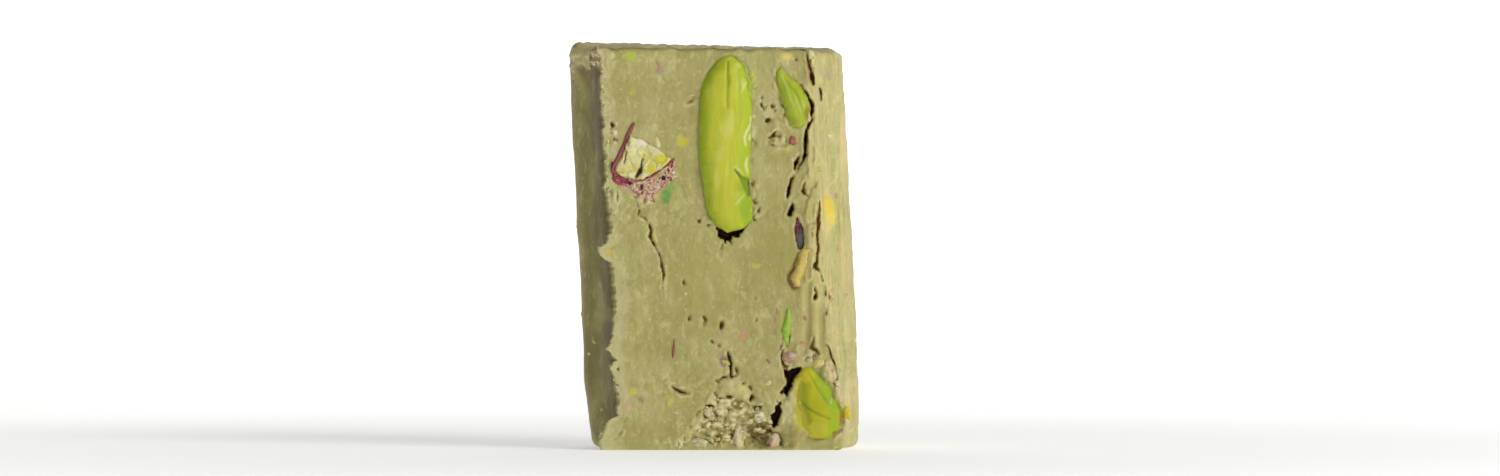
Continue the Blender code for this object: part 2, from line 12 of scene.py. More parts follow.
import bmesh
import bpy
import numpy as np
from bpy.props import FloatProperty, FloatVectorProperty, IntProperty, PointerProperty
from mathutils import Euler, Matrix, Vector
from mathutils.geometry import delaunay_2d_cdt


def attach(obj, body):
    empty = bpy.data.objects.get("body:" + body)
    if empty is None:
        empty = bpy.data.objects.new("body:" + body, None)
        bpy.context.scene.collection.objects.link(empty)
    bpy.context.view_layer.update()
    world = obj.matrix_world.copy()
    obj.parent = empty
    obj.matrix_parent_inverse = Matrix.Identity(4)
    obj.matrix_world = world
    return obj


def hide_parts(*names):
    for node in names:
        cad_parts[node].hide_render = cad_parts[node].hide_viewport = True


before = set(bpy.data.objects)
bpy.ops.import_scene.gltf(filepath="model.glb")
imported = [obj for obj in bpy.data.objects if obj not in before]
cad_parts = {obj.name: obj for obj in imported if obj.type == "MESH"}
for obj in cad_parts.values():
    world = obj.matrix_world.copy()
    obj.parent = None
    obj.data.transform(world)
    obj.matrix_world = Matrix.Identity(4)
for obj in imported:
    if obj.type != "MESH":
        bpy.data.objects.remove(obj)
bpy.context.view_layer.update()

bl_info = {
    "name": "Pistachio truffle half",
    "version": (1, 0, 0),
    "blender": (4, 5, 0),
    "location": "View3D > Sidebar > Truffle",
    "description": "Builds one cut half of a pistachio truffle and its stage",
    "category": "Object",
}

MM = 0.001

# The bar of paste, in millimetres, as in the solids.
FACE_HEIGHT = 29.6
LEAN = 1.5
LOBE_RADIUS = 4.95
LOBE_SPACING = 10.5
LOBE_DEPTH = 7.25
FLANK_HOLLOW = 2.1
FOOT_HOLLOW = 1.0
FOOT_HOLLOW_HEIGHT = 11.0
BACK_HOLLOW = 2.9
TOP_EDGE = 0.9
FOOT_EDGE = 0.6
FOOT_TUCK = 0.3
FOOT_TUCK_HEIGHT = 5.0
CUT_Y = -5.65
CORNER_X = 8.1

# Where the left edge of the cut runs, as height and x. Between the smears it has crumbled.
LEFT_LIP = (
    (0.0, -8.35), (0.5, -8.5), (0.9, -8.5), (1.4, -8.2), (1.8, -8.01), (2.3, -7.6),
    (2.5, -7.05), (3.2, -7.07), (3.7, -6.85), (4.2, -7.07), (4.6, -7.24), (5.4, -7.5),
    (6.0, -7.63), (6.47, -7.57), (6.62, -7.13), (7.1, -7.42), (7.47, -7.95), (8.0, -7.63),
    (8.7, -7.35), (10.0, -7.24), (11.5, -7.3), (12.5, -7.32), (13.2, -7.41), (13.75, -7.54),
    (14.0, -8.14), (14.3, -8.42), (14.9, -8.54), (15.2, -7.98), (16.0, -7.5), (17.5, -7.65),
    (19.0, -7.85), (19.4, -8.2), (19.9, -7.9), (22.0, -8.05), (24.3, -8.13), (26.0, -8.25),
    (28.0, -8.29), (28.7, -8.5), (29.6, -8.7),
)

# Cracks, each as a depth, how dark its painted shade is, and points of x, z and half the width.
CRACKS = (
    (1.8, 1.0, ((6.35, 26.8, 0.03), (6.83, 26.1, 0.1), (7.09, 25.37, 0.17), (7.16, 24.96, 0.13),
                (7.07, 24.64, 0.12), (7.12, 24.33, 0.1), (6.78, 23.6, 0.14), (6.67, 22.67, 0.15),
                (6.73, 21.73, 0.11), (6.41, 21.2, 0.07), (6.0, 20.5, 0.05))),
    (1.2, 1.0, ((6.21, 21.63, 0.08), (6.0, 21.21, 0.16), (5.84, 20.69, 0.1))),
    (1.4, 1.0, ((5.84, 20.33, 0.08), (5.58, 19.65, 0.15), (5.48, 19.03, 0.17),
                (5.37, 18.51, 0.1))),
    (1.4, 0.9, ((5.71, 18.14, 0.08), (5.63, 17.68, 0.2), (5.48, 17.31, 0.17))),
    (1.3, 0.65, ((6.83, 29.2, 0.04), (6.85, 28.91, 0.08), (6.93, 28.49, 0.1), (7.04, 27.87, 0.13),
                 (7.23, 27.35, 0.19), (7.23, 26.95, 0.13))),
    (1.3, 0.85, ((7.5, 26.82, 0.06), (7.79, 26.41, 0.12), (7.82, 25.84, 0.05))),
    (0.6, 0.8, ((4.6, 23.4, 0.08), (4.3, 23.12, 0.16), (4.02, 22.9, 0.08), (3.98, 22.5, 0.07),
                (4.3, 22.34, 0.08), (5.25, 22.33, 0.05))),
    (0.7, 0.6, ((6.67, 19.7, 0.05), (6.52, 19.03, 0.13), (6.8, 18.7, 0.08))),
    (0.9, 0.5, ((7.75, 18.3, 0.05), (7.61, 17.05, 0.13), (7.56, 15.8, 0.14), (7.61, 14.6, 0.12),
                (7.4, 13.5, 0.2), (7.71, 13.15, 0.05), (7.97, 12.42, 0.05))),
    (1.2, 1.0, ((6.1, 17.0, 0.12), (6.2, 16.3, 0.34), (6.3, 15.6, 0.34), (6.35, 15.1, 0.3),
                (6.45, 14.8, 0.14))),
    (1.0, 0.8, ((7.35, 12.01, 0.06), (7.49, 11.54, 0.14), (7.35, 11.07, 0.15))),
    (1.0, 0.7, ((8.13, 11.96, 0.08), (8.29, 11.49, 0.18), (8.44, 11.18, 0.13), (8.49, 10.87, 0.06),
                (8.2, 10.03, 0.05))),
    (0.7, 0.35, ((7.3, 8.27, 0.06), (7.14, 7.54, 0.18), (7.61, 7.12, 0.12))),
    (1.0, 0.7, ((8.3, 7.7, 0.06), (8.45, 7.3, 0.12), (8.81, 6.39, 0.09), (9.12, 5.77, 0.14),
                (9.01, 5.2, 0.1), (8.7, 5.04, 0.06))),
    (0.8, 0.8, ((-5.85, 18.16, 0.04), (-5.55, 17.65, 0.08), (-5.63, 17.28, 0.06),
                (-5.15, 17.06, 0.07), (-4.82, 16.58, 0.09), (-4.67, 16.18, 0.1),
                (-4.78, 15.74, 0.15), (-4.32, 14.89, 0.08), (-4.03, 14.34, 0.08),
                (-3.93, 13.6, 0.09), (-3.75, 12.79, 0.11), (-3.8, 12.5, 0.06),
                (-3.82, 11.32, 0.03))),
    (0.3, 0.6, ((-7.87, 23.01, 0.06), (-7.39, 23.01, 0.06))),
    (0.4, 0.6, ((-7.17, 18.9, 0.06), (-7.17, 18.38, 0.08))),
    (0.5, 0.75, ((-3.14, 4.65, 0.07), (-2.9, 4.4, 0.18), (-2.5, 4.2, 0.19), (-2.1, 4.14, 0.12),
                 (-1.85, 4.1, 0.06))),
    (0.3, 0.5, ((-7.24, 0.81, 0.06), (-6.8, 1.32, 0.06))),
    (0.3, 0.5, ((-7.46, 29.0, 0.06), (-7.46, 28.64, 0.06))),
    (0.6, 0.9, ((5.45, 9.4, 0.05), (5.48, 8.6, 0.1), (5.33, 7.6, 0.08))),
    (0.6, 0.8, ((0.6, 15.2, 0.06), (0.45, 14.7, 0.08), (0.3, 14.26, 0.06))),
    (0.9, 1.0, ((0.98, 7.2, 0.05), (1.15, 6.6, 0.16), (1.2, 5.9, 0.15), (1.2, 5.3, 0.08))),
    (0.6, 0.5, ((1.45, 6.4, 0.06), (1.55, 5.9, 0.13), (1.6, 5.4, 0.08))),
    (0.5, 0.6, ((4.5, 10.4, 0.05), (4.5, 10.0, 0.06))),
    (0.4, 0.6, ((3.24, 17.94, 0.05), (3.24, 17.35, 0.06))),
    (0.7, 0.7, ((4.98, 7.25, 0.05), (4.88, 6.75, 0.12), (5.05, 6.3, 0.14), (5.45, 6.15, 0.06))),
    (0.6, 0.9, ((9.4, 3.55, 0.03), (9.62, 2.95, 0.06), (9.6, 2.2, 0.07), (9.3, 1.5, 0.06),
                (8.8, 1.0, 0.03))),
    (0.4, 0.5, ((-2.1, 25.5, 0.06), (-1.8, 25.7, 0.1), (-1.3, 26.0, 0.04))),
)

# Cracks right of this x have brown sides.
BROWN_FROM_X = 6.3

# Small pits, each as x, z, half its width, half its height and its depth.
PITS = (
    (3.87, 24.23, 0.24, 0.24, 0.6), (3.4, 25.42, 0.1, 0.2, 0.5), (4.23, 25.21, 0.12, 0.16, 0.4),
    (3.5, 25.95, 0.07, 0.12, 0.3), (4.4, 24.85, 0.08, 0.08, 0.3), (-7.5, 23.9, 0.16, 0.2, 0.5),
    (-1.8, 9.7, 0.14, 0.2, 0.5), (-0.82, 9.55, 0.1, 0.24, 0.5), (0.52, 9.2, 0.13, 0.3, 0.5),
    (3.03, 9.52, 0.1, 0.14, 0.3), (2.98, 11.28, 0.09, 0.1, 0.3), (-2.24, 12.28, 0.1, 0.1, 0.3),
    (-7.19, 5.96, 0.1, 0.1, 0.4), (-1.1, 16.9, 0.12, 0.12, 0.5), (-0.48, 16.5, 0.12, 0.1, 0.5),
    (2.88, 18.3, 0.1, 0.15, 0.5), (3.26, 17.6, 0.1, 0.22, 0.5), (2.98, 16.98, 0.1, 0.12, 0.5),
    (-3.68, 20.14, 0.14, 0.2, 0.6), (7.87, 20.1, 0.1, 0.14, 0.2), (1.1, 3.9, 0.2, 0.14, 0.8),
    (2.68, 3.85, 0.14, 0.25, 0.8), (-0.34, 3.2, 0.28, 0.14, 0.8), (0.25, 5.0, 0.1, 0.16, 0.4),
    (0.5, 5.25, 0.12, 0.1, 0.4), (2.1, 4.85, 0.12, 0.1, 0.4), (3.1, 3.1, 0.3, 0.16, 0.9),
    (-0.2, 8.0, 0.1, 0.1, 0.3), (0.2, 7.75, 0.1, 0.12, 0.3), (6.0, 28.75, 0.1, 0.1, 0.3),
)

# Open holes beside and below the kernels: a depth and an outline of x and z.
VOIDS = (
    (1.5, ((0.18, 16.25), (0.99, 16.2), (1.43, 16.3), (2.39, 16.5), (2.17, 16.1), (1.65, 15.66),
           (1.36, 15.7), (1.29, 15.29), (1.14, 15.48), (0.85, 15.48), (0.68, 15.1),
           (0.55, 15.66), (0.33, 15.66))),
    (1.5, ((5.11, 5.88), (6.51, 6.03), (5.9, 5.44), (5.7, 4.85), (5.48, 4.19), (5.26, 3.97),
           (5.04, 4.19), (5.15, 4.56), (5.44, 4.93), (5.26, 5.44))),
    (1.3, ((4.78, 3.53), (4.89, 2.94), (4.74, 2.35), (4.6, 1.84), (4.3, 1.62), (4.08, 2.13),
           (4.15, 2.57), (4.45, 2.87), (4.67, 3.38))),
)

# The crumbly hollow at the foot, and the bump of paste in its upper part.
HOLLOW = (
    (-2.9, 0.6), (-1.9, 1.5), (-1.2, 2.3), (-0.7, 3.2), (-0.1, 4.0), (0.2, 5.0), (0.6, 5.35),
    (1.7, 5.35), (2.4, 4.85), (2.7, 4.2), (3.3, 3.7), (4.2, 3.0), (4.5, 2.1), (5.0, 1.2),
    (5.4, 0.1), (-3.4, 0.1),
)
BUMP = (
    (0.05, 4.2), (0.2, 4.8), (0.6, 5.25), (1.2, 5.4), (1.9, 5.15), (2.4, 4.7), (2.65, 4.2),
    (2.6, 3.8), (2.2, 3.6), (1.6, 3.75), (0.9, 3.95), (0.4, 3.75),
)
# Paste smeared over the left side of the lower kernel, and its edge there as height and x.
FILM = (
    (5.0, 3.6), (5.3, 4.0), (5.6, 4.5), (5.85, 5.2), (6.5, 5.6), (7.0, 5.3), (7.1, 3.0),
    (7.2, 1.5), (7.0, 1.0), (5.9, 0.3), (5.1, 0.5), (4.9, 2.0), (4.8, 2.9),
)
FILM_EDGE = (
    (0.8, 7.75), (1.2, 7.35), (2.0, 6.95), (3.5, 6.65), (5.0, 6.6), (5.8, 6.75),
)
# A flake of paste that stands out at the right, and its right edge as height and x.
TONGUE = (
    (6.36, 14.71), (7.5, 15.1), (7.5, 14.36), (7.2, 13.97), (7.05, 13.31), (6.68, 12.72),
    (6.6, 12.13), (5.94, 11.99), (5.57, 12.57), (6.01, 13.53), (6.24, 14.36),
)
TONGUE_SIDE = (
    (12.1, 6.6), (12.7, 6.7), (13.3, 7.05), (14.0, 7.2), (14.4, 7.5), (15.1, 7.55),
)

# Flaps of paste that stand out, most along the right side: a height and an outline.
LATHS = (
    (0.12, ((4.3, 22.92), (5.2, 22.98), (5.35, 22.6), (4.4, 22.55))),
    (0.12, ((7.75, 18.9), (8.7, 18.8), (8.75, 16.3), (7.85, 16.2))),
    (0.15, ((-4.8, 0.46), (-4.5, 0.78), (-3.3, 0.8), (-3.1, 0.5))),
    (0.24, ((6.62, 17.2), (6.7, 18.1), (7.1, 19.1), (7.6, 19.7), (8.5, 20.2), (9.1, 20.2),
            (8.4, 19.2), (7.75, 18.2), (7.55, 17.5), (7.45, 16.8), (6.9, 16.6))),
    (0.28, ((6.6, 12.3), (7.0, 12.4), (7.25, 13.2), (7.3, 14.5), (6.9, 14.8), (6.6, 13.5))),
    (0.22, ((6.85, 16.6), (7.4, 16.7), (7.4, 15.2), (7.2, 14.7), (6.85, 15.0), (6.75, 15.8))),
    (0.24, ((7.85, 6.1), (8.3, 6.2), (8.65, 5.8), (8.6, 5.2), (8.2, 5.1), (7.9, 5.4))),
    (0.24, ((8.7, 4.8), (9.1, 4.8), (9.25, 4.2), (9.15, 3.75), (8.8, 3.8), (8.7, 4.3))),
    (0.12, ((8.0, 10.3), (8.6, 10.3), (8.7, 8.9), (8.3, 8.4), (8.0, 9.2))),
    (0.12, ((7.7, 14.9), (8.2, 15.2), (8.3, 13.8), (7.95, 12.9), (7.75, 13.8))),
    (0.14, ((7.3, 26.6), (8.2, 26.4), (8.5, 25.0), (7.9, 23.8), (7.3, 24.2))),
    (0.14, ((6.8, 21.5), (7.2, 23.0), (7.6, 22.0), (7.3, 19.8), (6.85, 19.8))),
)

# Kernels: the left and the right edge from the tip to the foot, how far the front and the back
# bulge, and how deep behind the cut the widest part lies.
Kernel = namedtuple("Kernel", "node slot left right front back widest rows sides")
WHOLE = Kernel(
    "kernel_whole", "kernel_yellow_green",
    ((1.0, 29.02), (0.33, 28.68), (-0.29, 27.94), (-0.77, 27.21), (-0.99, 26.43), (-1.1, 25.22),
     (-1.14, 23.82), (-1.15, 22.21), (-0.99, 20.44), (-0.85, 19.34), (-0.7, 18.31),
     (-0.48, 17.32), (0.18, 16.5), (1.0, 16.0)),
    ((1.0, 29.02), (1.5, 28.9), (2.1, 28.5), (2.45, 27.9), (2.62, 27.2), (2.66, 26.4),
     (2.72, 25.4), (2.69, 24.0), (2.66, 22.4), (2.65, 21.0), (2.63, 19.7), (2.68, 18.6),
     (2.8, 17.7), (2.72, 16.9), (2.35, 16.45), (1.0, 16.0)),
    1.05, 2.35, 0.15, 190, 96,
)
LOWER = Kernel(
    "kernel_lower", "kernel_yellow_green",
    ((7.0, 6.17), (6.4, 5.9), (6.0, 5.3), (5.85, 4.6), (5.8, 3.9), (5.85, 3.1), (6.0, 2.3),
     (6.4, 1.5), (7.0, 0.95), (7.7, 0.82)),
    ((7.0, 6.17), (7.61, 5.66), (8.15, 5.07), (8.57, 4.49), (8.75, 3.82), (9.1, 3.4),
     (9.45, 3.0), (9.5, 2.6), (9.4, 2.1), (9.15, 1.54), (8.45, 0.9), (7.7, 0.82)),
    0.9, 1.9, 0.15, 110, 80,
)
UPPER = Kernel(
    "kernel_upper", "kernel_leaf_green",
    ((4.78, 28.42), (4.53, 27.76), (4.56, 27.14), (4.8, 26.31), (5.1, 25.37), (5.36, 24.43),
     (5.8, 23.75), (6.2, 23.65)),
    ((4.78, 28.42), (5.25, 27.8), (5.76, 27.3), (6.36, 26.75), (6.73, 26.15), (6.98, 25.37),
     (6.99, 24.64), (6.7, 24.0), (6.2, 23.65)),
    0.55, 1.0, 0.1, 100, 64,
)
KERNELS = (WHOLE, LOWER, UPPER)

# The broken nut and its skin.
CORE = (
    (-6.2, 23.3), (-6.0, 23.05), (-5.6, 22.95), (-5.11, 22.79), (-4.3, 22.2), (-3.49, 21.65),
    (-3.13, 21.44), (-3.5, 21.0), (-4.01, 20.62), (-4.67, 20.22), (-5.13, 19.93), (-5.9, 19.95),
    (-6.58, 20.0), (-7.35, 20.51), (-7.15, 20.95), (-6.88, 21.4), (-6.58, 22.2),
)
SKIN_STRIP = (
    (-5.96, 24.04, 0.06), (-6.35, 23.2, 0.1), (-6.62, 22.5, 0.1), (-6.98, 21.69, 0.11),
    (-7.3, 21.1, 0.11), (-7.5, 20.6, 0.1), (-7.3, 20.3, 0.07), (-6.6, 19.85, 0.05),
    (-5.29, 19.85, 0.05), (-3.64, 20.8, 0.05), (-2.98, 21.4, 0.04),
)
SKIN_CRUMBS = (
    (-7.7, 20.4), (-7.3, 19.6), (-6.3, 19.4), (-5.7, 18.8), (-5.0, 18.1), (-4.5, 18.2),
    (-4.2, 19.0), (-3.3, 19.6), (-2.85, 20.1), (-2.9, 21.3), (-3.6, 20.8), (-5.3, 19.8),
    (-6.9, 20.0),
)
# Its wide and its thin crack, as points of x, z and half the width.
CORE_CRACKS = (
    ((-5.17, 21.74, 0.02), (-5.3, 21.2, 0.04), (-5.4, 20.8, 0.08), (-5.55, 20.4, 0.14),
     (-5.75, 20.05, 0.08)),
    ((-6.15, 23.0, 0.04), (-6.4, 22.2, 0.05), (-6.55, 21.5, 0.05), (-6.75, 20.8, 0.03)),
)
# Patches on the broken nut, as SMUDGES.
CORE_PATCHES = (
    (-3.95, 21.35, 0.6, 0.5, 0.95, (230, 218, 52)), (-4.65, 20.65, 0.4, 0.6, 0.9, (228, 214, 56)),
    (-6.75, 20.5, 0.35, 0.25, 0.8, (226, 206, 84)), (-5.9, 20.7, 0.6, 0.4, 0.6, (230, 212, 96)),
    (-7.0, 20.6, 0.3, 0.25, 0.6, (226, 196, 150)), (-6.5, 21.6, 0.2, 0.8, 0.5, (236, 222, 110)),
    (-5.3, 22.6, 0.8, 0.35, 0.8, (246, 240, 212)), (-5.0, 21.6, 0.5, 0.5, 0.6, (234, 222, 104)),
    (-4.3, 22.0, 0.3, 0.25, 0.7, (246, 240, 208)),
)
# Colours of the crumbs of skin, and the first and the end of the pink and the pale ones.
SKIN_SEEN = (
    (166, 66, 80), (206, 104, 126), (140, 54, 62), (214, 104, 128), (236, 184, 162),
    (242, 204, 174), (226, 160, 144), (248, 232, 190), (242, 224, 174),
)
PINKS = (0, 4)
PALES = (4, 9)
# Folds and larger crumbs of skin: x, z, half width, half height and colour as seen.
SKIN_FOLDS = (
    (-7.5, 20.85, 0.12, 0.4, (84, 24, 32)), (-7.35, 20.2, 0.16, 0.14, (190, 64, 92)),
    (-7.15, 19.85, 0.16, 0.14, (206, 84, 110)), (-6.8, 19.6, 0.14, 0.12, (196, 80, 104)),
    (-5.35, 19.35, 0.1, 0.26, (96, 34, 48)), (-3.75, 20.0, 0.16, 0.18, (70, 26, 34)),
    (-5.3, 18.9, 0.1, 0.12, (190, 70, 96)), (-4.9, 18.6, 0.14, 0.12, (236, 214, 186)),
    (-6.2, 19.6, 0.16, 0.1, (70, 30, 30)),
)


# Settings, shown in the sidebar.


def linear(red, green, blue):
    """A colour as the eye sees it, 0 to 255, in the linear light that a shader takes."""
    shares = (red / 255, green / 255, blue / 255)
    return tuple(s / 12.92 if s <= 0.04045 else ((s + 0.055) / 1.055) ** 2.4 for s in shares)


def length(name, millimetres, description):
    """A setting that is a length, with its default in millimetres."""
    return FloatProperty(
        name=name, description=description, default=millimetres * MM, min=0.0,
        unit="LENGTH", subtype="DISTANCE", precision=5,
    )


def colour(name, seen, description):
    """A setting that is a colour, with its default as the eye sees it."""
    return FloatVectorProperty(
        name=name, description=description, default=linear(*seen), min=0.0, max=1.0,
        subtype="COLOR", size=3,
    )


def strength(name, default, description, least=0.0):
    """A setting that is a plain number, not below the least."""
    return FloatProperty(name=name, description=description, default=default, min=least)


class TruffleSizes(bpy.types.PropertyGroup):
    top_rise: length("Top Rise", 0.8, "How far the top end climbs from the cut to the back")
    row_height: length("Row Height", 0.107, "Height of one row of points on the bar")
    corner_round: length("Corner Round", 0.7, "Radius of the right edge of the cut")
    face_relief: length("Face Relief", 0.07, "How far the cut face swells and sinks")
    kernel_depth: length("Kernel Pocket", 1.6, "How deep the pockets of the kernels are")
    hollow_depth: length("Hollow", 0.85, "How deep the crumbly hollow at the foot is")
    bit_size: length("Bit Size", 0.16, "Radius of a scattered bit of nut")
    bit_spacing: length("Bit Spacing", 0.75, "Least distance between scattered bits")
    scatter_seed: IntProperty(name="Seed", description="Seed of the scattered bits", default=4)


class TruffleColours(bpy.types.PropertyGroup):
    paste: colour("Paste", (179, 171, 102), "The paste on the cut face")
    paste_light: colour("Paste, Light", (201, 193, 127), "Pale streaks in the paste")
    paste_dark: colour("Paste, Dark", (164, 152, 84), "Darker streaks in the paste")
    paste_flank: colour("Paste, Outside", (192, 184, 120), "The pressed outside of the bar")
    torn: colour("Paste, Torn", (224, 218, 160), "Freshly torn edges of the paste")
    shade: colour("Paste, Deep", (70, 48, 20), "The bottoms of the cracks")
    kernel: colour("Kernel", (207, 208, 58), "The middle of a kernel")
    kernel_edge: colour("Kernel, Edge", (168, 190, 22), "The edge of a kernel")
    kernel_pale: colour("Kernel, Pale", (232, 230, 130), "Pale worn ridges of a kernel")
    leaf: colour("Leaf Kernel", (176, 190, 42), "The kernel slice at the upper right")
    core: colour("Core", (238, 229, 158), "The broken cream nut")
    core_yellow: colour("Core, Yellow", (226, 220, 82), "Yellow patches of the broken nut")
    skin: colour("Skin", (160, 78, 82), "The papery skin of the broken nut")
    skin_dark: colour("Skin, Dark", (80, 22, 30), "The dark folds of the skin")


class StageSettings(bpy.types.PropertyGroup):
    floor: colour("Floor", (250, 250, 248), "The floor and the sweep behind it")
    floor_glow: strength("Floor Glow, Near", 0.34, "Light that the floor gives off by the truffle")
    backdrop_glow: strength(
        "Floor Glow, Far", 0.75, "Light that the floor and the sweep give off", 0.01
    )
    key_power: strength("Key Light", 2.25, "Power in watts of the soft light from the right")
    world: strength("Surroundings, Right", 0.29, "Strength of the light from the right")
    world_top: strength("Light From Above", 0.22, "How much light comes from above")
    world_left: strength("Surroundings, Left", 0.025, "Strength of the light from the left")


# Noise over places given as an array of three columns, in millimetres.

# How far noise goes up and down, and more than any distance on the face in millimetres.
NOISE_SPAN = 1.3
FAR = 9.0


def grains(cells, seed):
    """A number from 0 to 1 for each whole-numbered cell."""
    whole = cells.astype(np.int64)
    mixed = whole[:, 0] * 73856093 ^ whole[:, 1] * 19349663 ^ whole[:, 2] * 83492791
    mixed = (mixed ^ (seed * 2654435761)) & 0xFFFFFFFF
    for _ in range(2):
        mixed = ((mixed ^ (mixed >> 16)) * 0x45D9F3B) & 0xFFFFFFFF
    mixed = mixed ^ (mixed >> 16)
    return (mixed & 0xFFFFFF) / float(0x1000000)


def cloud(places, size, seed):
    """Smooth noise with lumps of that size, one number or three."""
    scaled = places / np.asarray(size, float) + seed * 0.37
    base = np.floor(scaled)
    part = scaled - base
    part = part * part * (3 - 2 * part)
    total = np.zeros(len(places))
    for corner in np.ndindex(2, 2, 2):
        step = np.array(corner)
        weight = np.prod(np.where(step == 1, part, 1 - part), axis=1)
        total += weight * grains(base + step, seed)
    return 2 * NOISE_SPAN * total - NOISE_SPAN


def clouds(base, places, *layers):
    """Adds smooth noises to numbers. Each noise is given by its height, size and seed."""
    for height, size, seed in layers:
        base = base + height * cloud(places, size, seed)
    return base


def pebbles(places, size, seed):
    """Packed lumps: distance to the nearest middle and to the next, and the nearest's number."""
    scaled = places / np.asarray(size, float)
    base = np.floor(scaled)
    nearest = np.full(len(places), FAR)
    second = np.full(len(places), FAR)
    number = np.zeros(len(places))
    for corner in np.ndindex(3, 3, 3):
        cell = base + np.array(corner) - 1
        middle = np.stack([grains(cell, seed + i) for i in range(3)], axis=1)
        away = np.linalg.norm(cell + middle - scaled, axis=1)
        closer = away < nearest
        second = np.where(closer, nearest, np.minimum(second, away))
        number = np.where(closer, grains(cell, seed + 3), number)
        nearest = np.where(closer, away, nearest)
    return nearest, second, number


def ease(values, low, high):
    """0 below low, 1 above high and smooth between."""
    share = np.clip((values - low) / (high - low), 0.0, 1.0)
    return share * share * (3 - 2 * share)


def ridge(values, middle, width):
    """1 at the middle, falling off to both sides over about that width."""
    return np.exp(-(((values - middle) / width) ** 2))


def on_cut(x, z):
    """Places on the plane of the cut."""
    return np.stack([x, np.zeros_like(x), z], axis=1)


def to_segment(x, z, start, end):
    """For each place: how far along a segment its nearest point lies, and how far away."""
    run, climb = end[0] - start[0], end[1] - start[1]
    along = (x - start[0]) * run + (z - start[1]) * climb
    share = np.clip(along / (run**2 + climb**2), 0.0, 1.0)
    return share, np.hypot(x - start[0] - run * share, z - start[1] - climb * share)


def inside_path(x, z, path):
    """How far inside a path of changing width each place is. Outside it is below 0."""
    best = np.full(x.shape, -FAR)
    for start, end in zip(path, path[1:]):
        share, away = to_segment(x, z, start, end)
        best = np.maximum(best, start[2] + (end[2] - start[2]) * share - away)
    return best


def inside_outline(x, z, outline):
    """How far inside an outline each place is. Outside it is below 0."""
    best = np.full(x.shape, FAR)
    odd = np.zeros(x.shape, bool)
    for (x0, z0), (x1, z1) in zip(outline, outline[1:] + outline[:1]):
        best = np.minimum(best, to_segment(x, z, (x0, z0), (x1, z1))[1])
        crossed = (z0 > z) != (z1 > z)
        odd ^= crossed & (x < x0 + (x1 - x0) * (z - z0) / ((z1 - z0) or 1e-9))
    return np.where(odd, best, -best)


# Node trees


def node_sum(operation, swapped=False):
    """A method of Wire that adds a node for an operation on it and another value."""
    def method(self, other):
        first, second = (other, self) if swapped else (self, other)
        return self.maker.wire("ShaderNodeMath", {"operation": operation}, {0: first, 1: second})
    return method


class Wire:
    """One output of a node. Arithmetic on it adds the nodes for it."""

    def __init__(self, maker, socket):
        self.maker = maker
        self.socket = socket

    __add__ = node_sum("ADD")
    __radd__ = node_sum("ADD", swapped=True)
    __sub__ = node_sum("SUBTRACT")
    __rsub__ = node_sum("SUBTRACT", swapped=True)
    __mul__ = node_sum("MULTIPLY")
    __truediv__ = node_sum("DIVIDE")
    __pow__ = node_sum("POWER")
    at_most = node_sum("MINIMUM")

    def clamped(self):
        settings = {"operation": "ADD", "use_clamp": True}
        return self.maker.wire("ShaderNodeMath", settings, {0: self, 1: 0.0})

    def between(self, low, high):
        """0 below low, 1 above high and smooth between."""
        return self.maker.wire(
            "ShaderNodeMapRange", {"interpolation_type": "SMOOTHSTEP"}, {0: self, 1: low, 2: high}
        )


class Maker:
    """Adds nodes to one tree, each with its settings first and then its values and links."""

    def __init__(self, tree):
        self.tree = tree

    def add(self, kind, settings=None, values=None):
        node = self.tree.nodes.new(kind)
        for name, value in (settings or {}).items():
            setattr(node, name, value)
        for key, value in (values or {}).items():
            socket = node.inputs[key]
            if isinstance(value, Wire):
                self.tree.links.new(value.socket, socket)
            else:
                socket.default_value = value
        return node

    def wire(self, kind, settings=None, values=None, output=0):
        return Wire(self, self.add(kind, settings, values).outputs[output])

    def noise(self, place, scale, detail=2.0, roughness=0.5, distortion=0.0):
        """Noise from 0 to 1, mostly near the middle."""
        values = {0: place, 2: scale, 3: detail, 4: roughness, 8: distortion}
        return self.wire("ShaderNodeTexNoise", {}, values)

    def vector_math(self, operation, values, output=0):
        """An operation on whole vectors."""
        return self.wire("ShaderNodeVectorMath", {"operation": operation}, values, output)

    def stretched(self, place, scale):
        """The place with its axes scaled each by its own number."""
        return self.vector_math("MULTIPLY", {0: place, 1: scale})

    def vector(self, x, y, z):
        return self.wire("ShaderNodeCombineXYZ", {}, {0: x, 1: y, 2: z})

    def parts(self, vector):
        """The x, y and z of a vector."""
        node = self.add("ShaderNodeSeparateXYZ", {}, {0: vector})
        return [Wire(self, socket) for socket in node.outputs]

    def mix(self, first, second, share, blend="MIX"):
        """Two colours mixed. Each is a Wire or three numbers."""
        first = first if isinstance(first, Wire) else (*first, 1.0)
        second = second if isinstance(second, Wire) else (*second, 1.0)
        settings = {"data_type": "RGBA", "blend_type": blend}
        return self.wire("ShaderNodeMix", settings, {0: share, 6: first, 7: second}, 2)

    def layers(self, base, *laid):
        """Colours laid over a base one after another, each given with its share."""
        for over, share in laid:
            base = self.mix(base, over, share)
        return base

    def tinted(self, base):
        """The colour with the tints painted on the points laid over it."""
        return self.mix(base, self.attribute("tint", "Color"), self.attribute("tint", "Alpha"))

    def attribute(self, name, output="Fac"):
        """What is written at the points under that name."""
        return self.wire("ShaderNodeAttribute", {"attribute_name": name}, {}, output)


def new_material(name):
    """A material without nodes yet, its maker, and the place on the object in millimetres."""
    material = bpy.data.materials.new(name)
    material.use_nodes = True
    material.node_tree.nodes.clear()
    maker = Maker(material.node_tree)
    place = maker.wire("ShaderNodeTexCoord", {}, {}, "Object")
    return material, maker, maker.stretched(place, (1 / MM,) * 3)


